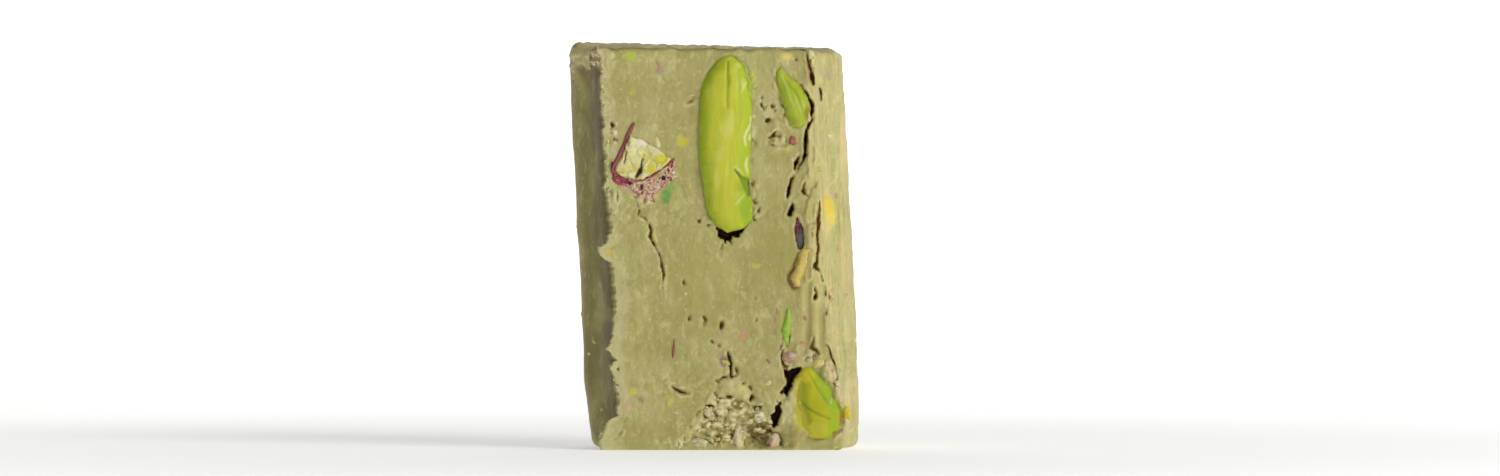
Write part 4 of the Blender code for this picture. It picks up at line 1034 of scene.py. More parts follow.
class CutFace:
    """What the cut shows at places on it, gathered from one kind of mark after another.

    The depth behind the plane of the cut is in millimetres, and so is what the openings add to
    it, the cut. The shares deep, brown and torn are for the colours, as is the tint: deep is
    painted shade in the openings and gaps, and brown is partly a painted shadow.
    """

    def __init__(self, x, z, sizes):
        self.x, self.z, self.sizes = x, z, sizes
        self.flat = flat = on_cut(x, z)
        self.bent_x = clouds(x, flat, (0.1, 0.6, 11), (0.06, 0.25, 12))
        self.bent_z = clouds(z, flat, (0.1, 0.6, 13), (0.06, 0.25, 14))
        self.near_x = clouds(x, flat, (0.05, 0.5, 17), (0.035, 0.2, 18))
        self.near_z = clouds(z, flat, (0.05, 0.5, 19), (0.035, 0.2, 20))
        self.ragged = clouds(0.0, flat, (0.045, 0.3, 15), (0.035, 0.14, 16))
        self.spotty = ease(cloud(flat, 0.35, 10), -0.4, 0.5)
        self.gappy = cloud(flat, 0.5, 34)
        self.cut = np.zeros_like(x)
        self.deep = np.zeros_like(x)
        self.brown = np.zeros_like(x)
        self.tint = np.zeros((len(x), 4))
        self.swell()
        self.crumble_edges()
        self.draw_out_right()
        self.open_cracks()
        self.fill_hollow()
        self.lay_flaps()
        self.set_pockets()
        self.depth = np.where(self.cut > 0.02, np.maximum(self.depth, 0.0) + self.cut, self.depth)
        # Brown along the cracks at the right, and the painted shadow beside the tongue.
        paint(self.tint, self.brown, linear(146, 92, 46))
        paint_patches(self.tint, self.bent_x + 2 * self.ragged, self.bent_z, SMUDGES)
        rim = 0.55 * ease(z, FACE_HEIGHT - 0.25, FACE_HEIGHT - 0.05)
        paint(self.tint, rim, linear(158, 154, 104))

    def at_least(self, **marks):
        """Raises marks to new values where those are higher."""
        for name, values in marks.items():
            setattr(self, name, np.maximum(getattr(self, name), values))

    def inside(self, outline):
        """How far inside an outline each place is, with the outline made uneven."""
        return inside_outline(self.bent_x, self.bent_z, outline)

    def swell(self):
        """Low relief all over, drawn out lengthwise at the right and rough in places."""
        x, z, flat = self.x, self.z, self.flat
        relief = self.sizes.face_relief / MM
        self.depth = clouds(0.0, flat, (relief, 3.2, 1), (0.02, (0.5, 1.0, 3.0), 2))
        self.depth += clouds(0.0, flat, (0.018, 0.9, 3), (0.012, 0.3, 4))
        self.laths = laths = ease(x, 5.9, 6.9) * ease(z, 6.5, 8.5)
        self.depth += laths * 0.17 * cloud(flat, (0.6, 1.0, 6.0), 5)
        self.depth += laths * 0.08 * cloud(flat, (0.25, 1.0, 2.2), 6)
        rough = np.maximum(ease(cloud(flat, 2.6, 9), 0.1, 0.7), ease(x, -6.6, -7.6))
        rough = np.maximum(rough * 0.6, ease(z, 8.0, 3.0) * ease(x, 2.5, 4.5))
        near, second, number = pebbles(flat, 0.55, 8)
        self.depth += rough * (0.07 * ease(second - near, 0.3, 0.0) - 0.06 * number)
        self.torn = 0.6 * rough * ease(number, 0.6, 0.95)
        streaks = ease(cloud(flat, (0.5, 1.0, 2.5), 7), 0.5, 0.95)
        self.torn += 0.5 * streaks * ease(laths, 0.2, 1.0)

    def crumble_edges(self):
        """Torn and crumbled edges, with painted shade in the gaps between their grains."""
        near, second, number = pebbles(self.flat, (0.42, 1.0, 0.5), 31)
        for share, seen, path in FRINGES:
            within = inside_path(self.bent_x, self.bent_z, path) + 1.5 * self.ragged
            band = share * ease(within, -0.14, 0.1)
            gaps = band * ease(second - near, 0.22, 0.02) * ease(self.gappy, 0.0, 0.6)
            self.depth += band * (0.06 - 0.3 * number * (1.2 - near)) + 0.2 * gaps
            self.at_least(deep=0.6 * gaps)
            laid = band * (0.2 + 0.8 * ease(number, 0.1, 0.7)) * ease(self.gappy, -0.9, 0.1)
            paint(self.tint, laid, linear(*seen))

    def draw_out_right(self):
        """The warmer, lengthwise streaks along the right side."""
        x, flat = self.x, self.flat
        laid = 0.35 + 0.3 * cloud(flat, (0.5, 1.0, 2.5), 35)
        paint(self.tint, self.laths * laid * ease(x, 9.0, 8.2), linear(208, 190, 122))
        drawn = ease(cloud(flat, (0.4, 1.0, 5.0), 36), 0.2, 0.8) * ease(x, 7.9, 8.4)
        paint(self.tint, 0.5 * drawn, linear(234, 208, 146))

    def open_cracks(self):
        """Cracks, pits and open holes, darkened with painted shade."""
        for far, dark, path in CRACKS:
            within = inside_path(self.near_x, self.near_z, path) + 0.8 * self.ragged - 0.03
            opened = ease(within, -0.04, 0.12)
            rim = ridge(within, -0.16, 0.1) * self.spotty
            self.at_least(cut=0.7 * far * opened, deep=dark * opened, torn=0.8 * rim)
            self.depth -= 0.07 * rim
            if path[0][0] > BROWN_FROM_X:
                brown_sides = 0.6 * ease(within, -0.26, 0.0) * (0.6 + 0.6 * self.gappy)
                self.at_least(brown=brown_sides)
        for px, pz, wide, tall, far in PITS:
            away = np.hypot((self.bent_x - px) / wide, (self.bent_z - pz) / tall)
            within = min(wide, tall) * (1 - away) + 0.7 * self.ragged
            self.at_least(
                cut=far * ease(within, -0.06, 0.1), deep=0.6 * ease(within, -0.06, 0.14),
                torn=0.4 * ridge(within, -0.14, 0.08) * self.spotty,
            )
        for far, outline in VOIDS:
            within = self.inside(outline) + 1.5 * self.ragged
            self.at_least(
                cut=far * ease(within, -0.06, 0.14), deep=ease(within, -0.08, 0.06) * 1.1
            )

    def fill_hollow(self):
        """The crumbly hollow at the foot, the bump of paste in its upper part, and painted shade in
        the hollow.
        """
        x, z, flat = self.x, self.z, self.flat
        bump = self.inside(BUMP) + self.ragged
        share = ease(self.inside(HOLLOW) + 2.0 * self.ragged, -0.1, 0.35) * ease(bump, 0.12, -0.06)
        near, _, number = pebbles(flat, (0.4, 1.0, 0.34), 27)
        grains_below = 0.12 * ease(z, 5.0, 4.0) * (number - near)
        self.depth -= ease(bump, -0.05, 0.9) * (0.4 + grains_below)
        laid = 0.75 * ease(bump, 0.0, 0.3) * (0.6 + 0.4 * ease(number, 0.2, 0.7))
        paint(self.tint, laid, linear(220, 211, 150))
        places = on_cut(self.near_x, self.near_z)
        near, second, number = pebbles(places, (0.55, 1.0, 0.42), 21)
        floor = self.sizes.hollow_depth / MM * (0.7 + 0.3 * cloud(flat, 1.1, 22))
        floor += 0.1 * cloud(flat, 0.3, 23) - 0.55 * (1 - near**2) * ease(number, 0.1, 0.8)
        floor *= ease(inside_outline(x, z, HOLLOW), -0.1, 0.9)
        floor += 0.35 * ease(x, 1.8, 2.6) * ease(z, 2.2, 1.2)
        self.depth += share * floor
        # Painted shade in the gap round the bump and in the holes between the crumbs.
        gap = ridge(bump, -0.08, 0.07) * ease(cloud(flat, 0.45, 24), 0.1, 0.6)
        hole = share * ease(second - near, 0.16, 0.02) * ease(cloud(flat, 0.9, 26), -0.2, 0.5)
        self.at_least(cut=0.4 * gap, deep=np.maximum(0.6 * gap, 0.45 * hole))
        self.depth += 0.2 * hole
        laid = share * (0.25 + 0.75 * ease(number, 0.15, 0.6) * ease(near, 0.8, 0.3))
        paint(self.tint, laid, linear(234, 224, 170))
        # Painted shade: olive in the recess at the right of the hollow.
        laid = 1.01 * share * ease(x, 2.0, 2.8) * ease(z, 2.5, 1.5) * ease(number, 0.85, 0.5)
        paint(self.tint, laid, linear(162, 152, 94))

    def lay_flaps(self):
        """Flaps of paste that stand out, the film on the lower kernel, and a shadow."""
        for far, outline in LATHS:
            within = self.inside(outline) + self.ragged
            self.depth -= far * ease(within, -0.02, 0.14)
            self.at_least(torn=0.6 * ridge(within, 0.05, 0.08))
        self.filmed = ease(self.inside(FILM) + self.ragged, -0.02, 0.16)
        self.depth -= (0.06 + 0.34 * ease(self.x, 5.0, 6.2)) * self.filmed
        low = ease(self.z + 0.4 * cloud(self.flat, 0.6, 28), 2.4, 1.0)[:, None]
        shown = (ease(self.bent_x, 5.55, 6.2) * ease(self.z, 1.0, 1.9))[:, None]
        film = (1 - low) * linear(228, 219, 158) + low * linear(186, 172, 108)
        paint(self.tint, self.filmed, (1 - shown) * film + shown * linear(206, 196, 62))
        # Painted shadow left of the tongue: cut in a little and painted brown.
        shadow = ease(self.bent_x, 6.45, 5.9) * ridge(self.inside(TONGUE), -0.1, 0.14)
        self.at_least(cut=0.3 * shadow, brown=0.65 * shadow)

    def set_pockets(self):
        """The pockets that the kernels, the broken nut and its skin are set in."""
        x, z = self.x, self.z
        for kernel in KERNELS:
            within = inside_outline(x, z, kernel.left + kernel.right[-2:0:-1])
            bare = 1 - self.filmed if kernel is LOWER else 1.0
            pocket = ease(within, 0.12, 0.3) * bare
            self.depth += 0.05 * bare * ridge(within, -0.02, 0.1)
            # Painted shade: dark in the pockets and in a broken line where the paste meets each
            # kernel.
            lined = 0.25 * bare * ridge(within, -0.03, 0.06) * self.spotty
            self.at_least(
                cut=pocket * self.sizes.kernel_depth / MM, deep=np.maximum(pocket, lined),
                torn=0.3 * bare * ridge(within, -0.22, 0.12) * self.spotty,
            )
        self.at_least(cut=1.2 * ease(inside_outline(x, z, CORE), 0.1, 0.3))
        self.at_least(cut=0.35 * ease(inside_path(x, z, SKIN_STRIP), -0.05, 0.1))


class WorkedBar:
    """The points of the smooth bar, while the marks of pressing and cutting are put in."""

    def __init__(self, mesh, sizes):
        self.mesh, self.sizes = mesh, sizes
        self.points, self.normals = read_points(mesh)
        self.x, self.z = self.points[:, 0].copy(), self.points[:, 2].copy()
        self.behind = self.points[:, 1] - CUT_Y
        self.front = self.behind < 1e-3
        self.middle = LEAN * (0.5 - self.z / FACE_HEIGHT)
        self.left_edge = self.middle - CORNER_X + drawn_in(self.z)
        wider = (1 - ease(self.z, 0.0, FOOT_HOLLOW_HEIGHT)) * (FLANK_HOLLOW - FOOT_HOLLOW)
        self.right_edge = self.middle + CORNER_X + wider - drawn_in(self.z)

    def press(self):
        """The outside: ribs from the die, and chopped ends."""
        points, normals, x = self.points, self.normals, self.x
        outside = 1 - self.front
        side = outside * ease(np.abs(normals[:, 2]), 0.8, 0.4) * ease(self.behind, 0.1, 0.9)
        drawn = 0.4 + 0.6 * ease(x, -5.0, 5.0)
        swell = 0.05 * drawn * cloud(points, (0.5, 0.5, 7.0), 41) + 0.07 * cloud(points, 2.2, 42)
        swell += drawn * clouds(0.0, points, (0.03, 0.6, 43), (0.015, 0.28, 44))
        points += normals * (side * swell)[:, None]
        self.top = outside * ease(normals[:, 2], 0.5, 0.9) * ease(self.behind, 0.0, 0.5)
        near, second, number = pebbles(points, 0.9, 45)
        chopped = 0.1 * cloud(points, 1.4, 46) + 0.08 * number
        chopped = chopped - 0.1 * ease(second - near, 0.45, 0.0)
        points[:, 2] += self.top * (chopped + 0.03 * cloud(points, 0.5, 47) - 0.16)

    def smear_left_edge(self):
        """The left lip: smears hang over the edge, and between them it has crumbled."""
        x, z, behind = self.x, self.z, self.behind
        heights, places = np.array(LEFT_LIP).T
        flat = on_cut(np.zeros_like(z), z)
        self.wanted = clouds(np.interp(z, heights, places), flat, (0.1, 0.45, 48), (0.09, 0.2, 49))
        self.shift = self.wanted - self.left_edge
        inward = np.clip(1 - (x - self.left_edge) / 3.0, 0.0, 1.0) ** 2
        over_front = np.clip(1 - (x - self.left_edge) / 0.9, 0.0, 1.0) ** 2
        left_side = (x < self.middle - 4.0) & ~self.front
        fade_in = np.clip(1 - behind / 1.6, 0.0, 1.0) ** 2
        fade_over = ease(behind, 0.42, 0.12)
        share = np.where(self.shift > 0, inward, over_front) * self.front
        share += np.where(self.shift > 0, fade_in, fade_over) * left_side
        self.points[:, 0] += self.shift * share

    def round_right_edge(self):
        """Bends the right edge of the cut round to the flank."""
        x, front, behind = self.x, self.front, self.behind
        radius = self.sizes.corner_round / MM
        away = self.right_edge - x
        turn = np.where(front, 1 - away / radius, 1 + behind / radius) * math.pi / 4
        rounded = (x > self.middle + 5.0) & (np.abs(self.normals[:, 2]) < 0.9)
        rounded &= (front & (away < radius)) | (~front & (behind < radius))
        new_x = np.where(front, self.right_edge, x) - radius + radius * np.sin(turn)
        new_y = CUT_Y + radius - radius * np.cos(turn)
        self.points[rounded, 0] = new_x[rounded]
        self.points[rounded, 1] = new_y[rounded]

    def open_face(self):
        """Sinks and stains the cut face, with painted shade, and crumbles and lightens the upper
        left shoulder.
        """
        points, z, front, behind = self.points, self.z, self.front, self.behind
        self.face = face = CutFace(points[:, 0], z, self.sizes)
        ragged = 0.4 * cloud(points, 0.7, 54)
        crumbled = ease(z + ragged, 27.8, 28.5) * ease(points[:, 0], -7.9, -8.5)
        crumbled *= ease(behind + ragged, 7.5, 6.5)
        near, second, number = pebbles(points, (0.6, 0.7, 0.5), 51)
        self.crumbled = crumbled = crumbled * ease(cloud(points, 1.0, 52), -0.7, -0.1)
        points += self.normals * (crumbled * 0.24 * (number - near) * ~front)[:, None]
        # Painted pale: partly its pale crumbs, partly painted light on the bevel that faces up.
        laid = crumbled * (0.5 + 0.4 * number)
        blend(face.tint, crumbled, linear(234, 220, 156), laid)
        # Painted shade in the gaps between the shoulder's crumbs.
        face.at_least(deep=0.35 * (crumbled * ease(second - near, 0.2, 0.02)))
        on_flank = ease(behind, 7.8, 6.0)
        right_flank = on_flank * ease(points[:, 0] - self.right_edge, 0.0, 0.3)
        self.beyond = np.maximum(right_flank, on_flank * ease(self.wanted - self.x, 0.0, 0.3))
        flank = np.maximum(ease(behind, 0.5, 0.0), 0.9 * right_flank)
        self.weight = np.where(front, 1.0, flank)
        end = ease(z, FACE_HEIGHT, FACE_HEIGHT - 0.35) * ease(z, 0.0, 0.3)
        points[:, 1] += face.depth * self.weight * end
        points[:, 1] += 0.28 * front * ease(z, FACE_HEIGHT - 0.35, FACE_HEIGHT) ** 2
        rim = ease(z, FACE_HEIGHT - 1.2, FACE_HEIGHT - 0.1) * (1 - self.top)
        points[:, 2] += rim * (0.09 * cloud(points, (0.7, 1.2, 9.0), 50) - 0.05)
        lip = front * np.clip(1 - (self.x - self.left_edge) / 0.7, 0.0, 1.0)
        face.at_least(torn=lip * np.where(self.shift < 0, 0.9, 0.3))
        points[:, 2] = np.maximum(points[:, 2], 0.0)

    def write(self):
        """Puts the points and what the materials and the strewn bits read into the mesh."""
        mesh, points, front, behind = self.mesh, self.points, self.front, self.behind
        deep, tint, top = self.face.deep, self.face.tint, self.top
        write_points(mesh, points)
        write_share(mesh, "deep", deep * self.weight)
        write_share(mesh, "torn", self.face.torn * self.weight)
        write_share(mesh, "flank", ease(behind, 0.05, 0.5))
        hidden = 0.1 + 0.9 * np.maximum(ease(behind, 4.0, 7.5), top)
        clear = np.where(front, 0.12, hidden) * ease(deep, 0.15, 0.0) * ease(self.z, 0.2, 0.8)
        write_share(mesh, "bare", clear * ease(points[:, 2], 0.5, 0.9))
        seen = np.maximum(ease(behind, 1.0, 0.3), self.beyond)
        tint[:, 3] *= np.where(front, 1.0, np.maximum(seen, self.crumbled))
        lip = ease(self.x - self.left_edge - self.shift, 1.2, 0.3)
        lip = 0.65 * front * lip * ease(cloud(points, 0.8, 53), -0.8, 0.1)
        paint(tint, lip, linear(212, 204, 150))
        paint(tint, 0.45 * top, linear(224, 216, 164))
        write_tint(mesh, tint)


def work_over(mesh, sizes):
    """Gives the smooth bar its edges, its relief and the marks of cutting and pressing."""
    bar = WorkedBar(mesh, sizes)
    bar.press()
    bar.smear_left_edge()
    bar.round_right_edge()
    bar.open_face()
    bar.write()


def pieces_for(context):
    """The sizes and the colours that the operators work with."""
    return context.scene.truffle_sizes, context.scene.truffle_colours


class TRUFFLE_OT_paste(bpy.types.Operator):
    """Build the bar of paste with its cut face"""

    bl_idname = "truffle.paste"
    bl_label = "Paste"

    def execute(self, context):
        sizes, colours = pieces_for(context)
        section = make_section()
        upright = make_upright(sizes.row_height / MM)
        made = object_from("paste", np.zeros((0, 3)), [], None)
        run_tree(made, bar_tree(), {
            "Section": section, "Upright": upright, "Columns": len(section.data.vertices),
            "Rows": len(upright.data.vertices), "Face Height": FACE_HEIGHT * MM,
            "Top Rise": sizes.top_rise, "Lean": LEAN * MM, "Lobe Depth": LOBE_DEPTH * MM,
            "Foot Hollow Height": FOOT_HOLLOW_HEIGHT * MM, "Cut": CUT_Y * MM,
            "Material": paste_material(colours),
        })
        for helper in (section, upright):
            bpy.data.objects.remove(helper, do_unlink=True)
        work_over(made.data, sizes)
        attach(made, "root")
        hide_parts("truffle_paste")
        return {"FINISHED"}


# Kernels

# Marks on the kernels, by node: how deep, how much painted shade, how pale, and points of x, z,
# half width.
KERNEL_MARKS = {
    "kernel_whole": (
        (0.14, 0.35, 0.0, ((0.95, 28.5, 0.03), (0.98, 26.9, 0.07), (0.92, 25.2, 0.03))),
        (0.12, 0.7, 0.0, ((1.4, 28.95, 0.02), (1.85, 28.6, 0.03), (2.2, 28.15, 0.04),
                          (2.4, 27.6, 0.04), (2.48, 27.0, 0.04), (2.5, 26.4, 0.02))),
        (-0.07, 0.0, 0.7, ((1.49, 20.85, 0.03), (1.8, 20.5, 0.06), (2.1, 20.15, 0.04))),
        (-0.06, 0.0, 0.6, ((2.4, 21.5, 0.03), (2.3, 21.0, 0.1), (2.45, 20.4, 0.04))),
        (-0.06, 0.0, 0.5, ((2.35, 27.0, 0.03), (2.15, 26.8, 0.1), (2.0, 26.3, 0.04))),
        (0.28, 0.8, 0.0, ((1.5, 20.6, 0.03), (1.95, 20.05, 0.14), (2.35, 19.7, 0.28),
                          (2.5, 19.25, 0.3), (2.5, 18.8, 0.14))),
        (-0.06, 0.0, 0.55, ((2.2, 18.75, 0.03), (1.85, 18.42, 0.05), (1.49, 18.02, 0.02))),
        (-0.07, 0.0, 0.8, ((2.62, 24.5, 0.04), (2.66, 24.0, 0.05), (2.35, 23.4, 0.06),
                           (2.2, 22.95, 0.06), (2.3, 22.4, 0.04))),
        (0.03, 0.12, 0.0, ((0.9, 18.6, 0.02), (1.1, 20.5, 0.08), (1.2, 23.0, 0.03))),
        (0.03, 0.15, 0.0, ((1.75, 27.9, 0.03), (1.9, 26.0, 0.06), (1.85, 24.2, 0.03))),
    ),
    "kernel_lower": (
        (0.12, 0.5, 0.0, ((6.32, 3.53, 0.05), (6.9, 3.05, 0.07), (7.61, 2.65, 0.07),
                          (8.46, 2.28, 0.04))),
        (0.06, 0.3, 0.0, ((6.9, 5.6, 0.03), (7.5, 4.6, 0.07), (8.3, 3.4, 0.04))),
        (0.1, 0.9, 0.0, ((9.0, 3.7, 0.03), (9.32, 2.9, 0.06), (9.25, 1.8, 0.04))),
    ),
    "kernel_upper": (
        (-0.03, 0.0, 0.35, ((4.9, 27.6, 0.03), (5.3, 26.6, 0.07), (5.8, 25.2, 0.04))),
        (0.07, 0.4, 0.0, ((5.2, 27.2, 0.03), (6.0, 26.2, 0.06), (6.5, 24.8, 0.04))),
    ),
}

# Patches on the kernels, as SMUDGES; three of them are painted highlights.
KERNEL_PATCHES = {
    "kernel_whole": (
        (1.8, 28.3, 0.3, 0.3, 0.5, (216, 220, 110)), (2.1, 26.9, 0.25, 0.45, 0.4, (222, 224, 130)),
        # (1.2, 24.0) and (0.2, 19.9) are painted highlights.
        (1.2, 24.0, 0.3, 1.1, 0.5, (226, 222, 126)), (0.2, 19.9, 0.25, 0.9, 0.45, (224, 224, 120)),
        (2.3, 17.7, 0.6, 1.1, 0.75, (142, 176, 22)), (0.5, 28.3, 0.9, 0.6, 0.6, (172, 190, 34)),
        (0.8, 16.6, 0.9, 0.5, 0.5, (182, 194, 48)), (0.95, 27.6, 0.2, 1.0, 0.5, (184, 192, 40)),
        (2.0, 19.4, 0.45, 0.6, 0.6, (150, 168, 24)), (2.4, 25.4, 0.3, 1.0, 0.4, (186, 204, 44)),
    ),
    "kernel_lower": (
        (6.95, 5.5, 0.5, 0.5, 0.7, (214, 202, 36)), (9.3, 2.6, 0.2, 1.0, 0.7, (216, 164, 30)),
        (7.8, 1.6, 0.7, 0.5, 0.4, (206, 200, 80)), (9.4, 2.3, 0.14, 0.9, 0.9, (150, 98, 30)),
        (8.9, 1.25, 0.35, 0.2, 0.8, (150, 98, 30)), (8.5, 4.6, 0.35, 0.9, 0.8, (146, 184, 18)),
        (8.9, 3.2, 0.4, 0.6, 0.6, (160, 190, 24)), (8.6, 1.6, 0.5, 0.5, 0.6, (166, 188, 30)),
        (8.6, 3.6, 0.14, 0.26, 0.4, (222, 222, 160)),
    ),
    "kernel_upper": (
        (6.9, 24.7, 0.35, 0.7, 0.85, (158, 124, 34)), (4.8, 28.25, 0.25, 0.25, 0.8, (120, 116, 44)),
        # (6.45, 25.2) is a painted highlight.
        (6.0, 24.1, 0.4, 0.35, 0.5, (160, 166, 60)), (6.45, 25.2, 0.25, 0.5, 0.5, (212, 214, 112)),
        (5.3, 26.4, 0.3, 0.9, 0.5, (158, 186, 48)), (6.2, 26.7, 0.14, 0.3, 0.7, (190, 150, 44)),
        (5.6, 27.35, 0.14, 0.3, 0.7, (186, 156, 50)),
    ),
}


def rail(places, count):
    """Points along a smooth curve through the places, closer together near its ends."""
    given = np.array(places)
    run = np.concatenate([[0.0], np.cumsum(np.linalg.norm(np.diff(given[:, :2], axis=0), axis=1))])
    wanted = run[-1] * (1 - np.cos(np.linspace(0, math.pi, count))) / 2
    slopes = np.gradient(given, run, axis=0)
    index = np.clip(np.searchsorted(run, wanted, side="right") - 1, 0, len(given) - 2)
    size = (run[index + 1] - run[index])[:, None]
    u = (wanted - run[index])[:, None] / size
    start, end = given[index], given[index + 1]
    made = (2 * u**3 - 3 * u**2 + 1) * start + (3 * u**2 - 2 * u**3) * end
    made += (u**3 - 2 * u**2 + u) * size * slopes[index]
    return made + (u**3 - u**2) * size * slopes[index + 1]


def rings_and_poles(rings, first, last):
    """One closed shape from rings of points and a point past each end: points and faces."""
    count, sides = rings.shape[:2]
    points = np.concatenate([rings.reshape(-1, 3), [first], [last]])
    faces = []
    for row in range(count - 1):
        for i in range(sides):
            a, b = row * sides + i, row * sides + (i + 1) % sides
            faces.append((a, b, b + sides, a + sides))
    foot = (count - 1) * sides
    for i in range(sides):
        after = (i + 1) % sides
        faces.append((after, i, count * sides))
        faces.append((foot + i, foot + after, count * sides + 1))
    return points, faces


def turn_outward(mesh):
    """Turns all faces of closed shapes to the outside."""
    edit = bmesh.new()
    edit.from_mesh(mesh)
    bmesh.ops.recalc_face_normals(edit, faces=edit.faces)
    edit.to_mesh(mesh)
    edit.free()


def kernel_form(kernel):
    """A smooth kernel between its left and right edges.

    Its points, its faces, and how far to the right each point is, from -1 to 1.
    """
    left = rail(kernel.left, kernel.rows)[1:-1]
    right = rail(kernel.right, kernel.rows)[1:-1]
    for edge, seed in ((left, 55), (right, 57)):
        flat = on_cut(*edge.T)
        edge[:, 0] += clouds(0.0, flat, (0.05, 0.6, seed), (0.035, 0.22, seed + 1))
    middle, half = (left + right) / 2, (right - left) / 2
    wide = np.linalg.norm(half, axis=1)
    full = (wide / wide.max()) ** 0.75
    turns = np.linspace(0.0, 2 * math.pi, kernel.sides, endpoint=False)
    flat = middle[:, None] + half[:, None] * np.cos(turns)[None, :, None]
    lift = np.sin(turns)
    bulge = np.where(lift > 0, kernel.front, kernel.back) * np.abs(lift) ** 0.9 * np.sign(lift)
    y = CUT_Y + kernel.widest - full[:, None] * bulge[None, :]
    rings = np.stack([flat[..., 0], y, flat[..., 1]], axis=2)
    poles = [(p[0], CUT_Y + kernel.widest, p[1]) for p in (kernel.left[0], kernel.left[-1])]
    points, faces = rings_and_poles(rings, *poles)
    side = np.append(np.repeat(np.cos(turns)[None, :], len(left), 0).ravel(), (1.0, 1.0))
    return points, faces, side


def kernel_tint(kernel, bent, z, flat, side, front):
    """The tints painted on a kernel, at places whose x is a little bent."""
    tint = np.zeros((len(z), 4))
    paint_patches(tint, bent, z, KERNEL_PATCHES[kernel.node])
    if kernel is LOWER:
        edge = np.interp(z, *np.array(FILM_EDGE).T)
        film = ease(bent + 0.1 * cloud(flat, 0.8, 67) - edge, 0.45, -0.45)
        blend(tint, film, linear(208, 198, 58), film)
    if kernel is UPPER:
        paler = ease(side, -0.75, -1.0) * front
        blend(tint, paler, linear(204, 202, 112), 0.7 * paler)
    return tint


def make_kernel(kernel, material):
    """A kernel with its lines, folds and worn places, and painted shade down in its folds."""
    points, faces, side = kernel_form(kernel)
    made = object_from(kernel.node, points, faces, material)
    turn_outward(made.data)
    points, normals = read_points(made.data)
    x, z = points[:, 0].copy(), points[:, 2].copy()
    flat = on_cut(x, z)
    bent = clouds(x, flat, (0.05, (0.6, 1.0, 1.2), 61))
    lines = clouds(0.0, points, (0.024, (0.8, 0.8, 5.0), 62), (0.008, (0.3, 0.4, 2.0), 63))
    lines += clouds(0.0, points, (0.022, 0.8, 64), (0.01, 0.25, 65))
    points += normals * (lines * ease(1 - np.abs(side), -0.05, 0.1) + 0.2 * lines)[:, None]
    deep = np.zeros_like(x)
    torn = np.zeros_like(x)
    front = ease(points[:, 1], CUT_Y + 0.3, CUT_Y)
    for far, dark, pale, path in KERNEL_MARKS[kernel.node]:
        share = ease(inside_path(bent, z, path), -0.1, 0.06) * front
        points[:, 1] += far * share
        deep = np.maximum(deep, dark * share)
        torn = np.maximum(torn, pale * share)
    write_points(made.data, points)
    if kernel is WHOLE:
        patchy = ease(cloud(flat, (0.3, 1.0, 0.8), 68), -0.1, 0.5)
        patchy = patchy * ease(cloud(flat, 0.25, 69), -0.6, 0.2)
        fringe = ease(side, 0.86, 0.97) * patchy * front * ease(z, 28.6, 27.5)
        torn = np.maximum(torn, 0.75 * (fringe * ease(z, 16.6, 18.0)))
    across = np.where(side > 0, np.abs(side) ** 0.5, np.abs(side) ** 0.8)
    for name, values in (("across", across), ("deep", deep), ("torn", torn)):
        write_share(made.data, name, values)
    write_tint(made.data, kernel_tint(kernel, bent, z, flat, side, front))
    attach(made, "root")
    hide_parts(kernel.node)


class TRUFFLE_OT_kernels(bpy.types.Operator):
    """Build the three kernels set in the cut face"""

    bl_idname = "truffle.kernels"
    bl_label = "Kernels"

    def execute(self, context):
        _, colours = pieces_for(context)
        flesh = kernel_material(
            "kernel_flesh", colours.kernel, colours.kernel_edge, colours.kernel_pale
        )
        leaf = kernel_material("leaf_flesh", colours.leaf, colours.kernel_edge, (0.62, 0.7, 0.16))
        deeper = kernel_material(
            "deeper_flesh", linear(190, 188, 18), linear(150, 182, 8), linear(204, 202, 40)
        )
        for kernel, material in ((WHOLE, flesh), (LOWER, deeper), (UPPER, leaf)):
            make_kernel(kernel, material)
        return {"FINISHED"}


# Lumps, crumbs and the broken nut


def ball(detail):
    """A round ball of triangles: points one unit from the middle, and faces."""
    edit = bmesh.new()
    bmesh.ops.create_icosphere(edit, subdivisions=detail, radius=1.0)
    points = np.array([v.co[:] for v in edit.verts])
    faces = [tuple(v.index for v in f.verts) for f in edit.faces]
    edit.free()
    return points, faces


# How much lighter or darker a lump can be than its colour, and the points round a band.
OWN_TINT = 10
RIBBON_SIDES = 14


class Heap:
    """Closed lumps gathered for one piece, each point with its own tint."""

    def __init__(self, seed):
        self.random = np.random.default_rng(seed)
        self.balls = {detail: ball(detail) for detail in (2, 3)}
        self.points = []
        self.faces = []
        self.tints = []
        self.count = 0

    def add(self, points, faces, seen):
        self.faces.extend(tuple(i + self.count for i in face) for face in faces)
        self.points.append(points)
        self.tints.append(np.tile((*linear(*seen), 1.0), (len(points), 1)))
        self.count += len(points)

    def lump(self, place, half, seen, turn=0.0, rough=0.22, detail=2):
        """An uneven ball: its middle, half sizes, colour as seen, and turn in the cut's plane."""
        points, faces = self.balls[detail]
        offset = self.random.uniform(0, 50, 3)
        shape = clouds(1, points + offset, (rough, 0.9, 71), (rough * 0.8, 0.45, 72))
        if detail > 2:
            near, _, _ = pebbles(points + offset, 0.6, 74)
            shape += rough * (0.5 - 0.9 * near) + rough * 0.3 * cloud(points + offset, 0.2, 73)
        points = points * shape[:, None] * np.array(half)
        twist = Euler((self.random.uniform(-0.3, 0.3), turn, self.random.uniform(-0.3, 0.3)))
        points = points @ np.array(twist.to_matrix()).T + np.array(place)
        points[:, 2] += max(0.0, -points[:, 2].min())
        change = self.random.uniform(-OWN_TINT, OWN_TINT)
        self.add(points, faces, tuple(min(max(c + change, 0), 255) for c in seen))

    def finish(self, name, material):
        made = object_from(name, np.concatenate(self.points), self.faces, material)
        turn_outward(made.data)
        write_tint(made.data, np.concatenate(self.tints))
        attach(made, "root")
        return made


